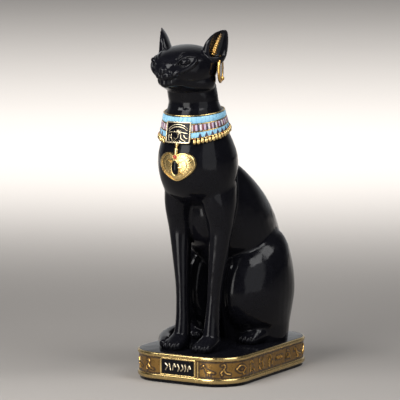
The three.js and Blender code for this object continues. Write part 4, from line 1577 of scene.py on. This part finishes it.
def studio():
    """Pale floor, room light, softboxes and the camera."""
    deselect()
    bpy.ops.mesh.primitive_circle_add(vertices=96, radius=9, fill_type="NGON")
    floor = bpy.context.object
    floor.name = "floor"
    floor.data.materials.append(floor_finish())
    room_light()
    standing_softbox("left softbox", -4, 0.42, 0.2, 0.42, 6.4, (1, 0.985, 0.96))
    standing_softbox("right softbox", 70, 0.42, 0.3, 0.42, 1.3, (0.97, 0.985, 1))
    softbox("front softbox", -20, 46, 0.62, 0.5, 0.17, 11.0)
    softbox("side softbox", 72, 45, 0.62, 0.22, 0.26, 7.0)
    softbox("high softbox", 102, 49, 1.3, 0.34, 0.7, 7.0)
    backdrop_light(1650)
    photograph_camera()
    bpy.context.scene.view_settings.view_transform = "Standard"


# The add-on


class FigureOperator:
    """What all the figure's operators share."""

    bl_options = {"REGISTER", "UNDO"}

    def execute(self, context):
        for make in self.steps:
            make()
        return {"FINISHED"}


class CAT_FIGURE_OT_studio(FigureOperator, bpy.types.Operator):
    """Sets up the floor, the lights and the camera"""

    bl_idname = "cat_figure.studio"
    bl_label = "Studio"
    steps = (studio,)


class CAT_FIGURE_OT_plinth(FigureOperator, bpy.types.Operator):
    """Builds the plinth with its mouldings, frieze and front panel"""

    bl_idname = "cat_figure.plinth"
    bl_label = "Plinth"
    steps = (plinth,)


class CAT_FIGURE_OT_body(FigureOperator, bpy.types.Operator):
    """Builds the cat's body, legs and tail"""

    bl_idname = "cat_figure.body"
    bl_label = "Body"
    steps = (cat_body,)


class CAT_FIGURE_OT_head(FigureOperator, bpy.types.Operator):
    """Builds the cat's head and ears"""

    bl_idname = "cat_figure.head"
    bl_label = "Head"
    steps = (cat_head,)


class CAT_FIGURE_OT_ear_gilding(FigureOperator, bpy.types.Operator):
    """Builds the gilt tufts in the ears and the earrings"""

    bl_idname = "cat_figure.ear_gilding"
    bl_label = "Ear gilding"
    steps = (ear_tufts, earrings)


class CAT_FIGURE_OT_collar(FigureOperator, bpy.types.Operator):
    """Builds the collar with its rows of beads and its front plate"""

    bl_idname = "cat_figure.collar"
    bl_label = "Collar"
    steps = (collar_core, collar_rows, collar_plate)


class CAT_FIGURE_OT_pendant(FigureOperator, bpy.types.Operator):
    """Builds the heart pendant with its link, bead and stone"""

    bl_idname = "cat_figure.pendant"
    bl_label = "Pendant"
    steps = (heart_pendant,)


OPERATORS = (
    CAT_FIGURE_OT_studio,
    CAT_FIGURE_OT_plinth,
    CAT_FIGURE_OT_body,
    CAT_FIGURE_OT_head,
    CAT_FIGURE_OT_ear_gilding,
    CAT_FIGURE_OT_collar,
    CAT_FIGURE_OT_pendant,
)


class CAT_FIGURE_PT_panel(bpy.types.Panel):
    """Lists the figure's pieces, sizes and colours"""

    bl_idname = "CAT_FIGURE_PT_panel"
    bl_label = "Cat figure"
    bl_space_type = "VIEW_3D"
    bl_region_type = "UI"
    bl_category = "Cat figure"

    def draw(self, context):
        for operator in OPERATORS:
            self.layout.operator(operator.bl_idname)
        for group in (context.scene.figure_sizes, context.scene.figure_colours):
            for key in group.bl_rna.properties.keys():
                if key not in ("rna_type", "name"):
                    self.layout.prop(group, key)


CLASSES = (FigureSizes, FigureColours, *OPERATORS, CAT_FIGURE_PT_panel)


def register():
    for kind in CLASSES:
        bpy.utils.register_class(kind)
    bpy.types.Scene.figure_sizes = bpy.props.PointerProperty(type=FigureSizes)
    bpy.types.Scene.figure_colours = bpy.props.PointerProperty(type=FigureColours)


def unregister():
    del bpy.types.Scene.figure_sizes
    del bpy.types.Scene.figure_colours
    for kind in reversed(CLASSES):
        bpy.utils.unregister_class(kind)


def main():
    register()
    bpy.ops.cat_figure.studio()
    bpy.ops.cat_figure.plinth()
    bpy.ops.cat_figure.body()
    bpy.ops.cat_figure.head()
    bpy.ops.cat_figure.ear_gilding()
    bpy.ops.cat_figure.collar()
    bpy.ops.cat_figure.pendant()


if __name__ == "__main__":
    main()
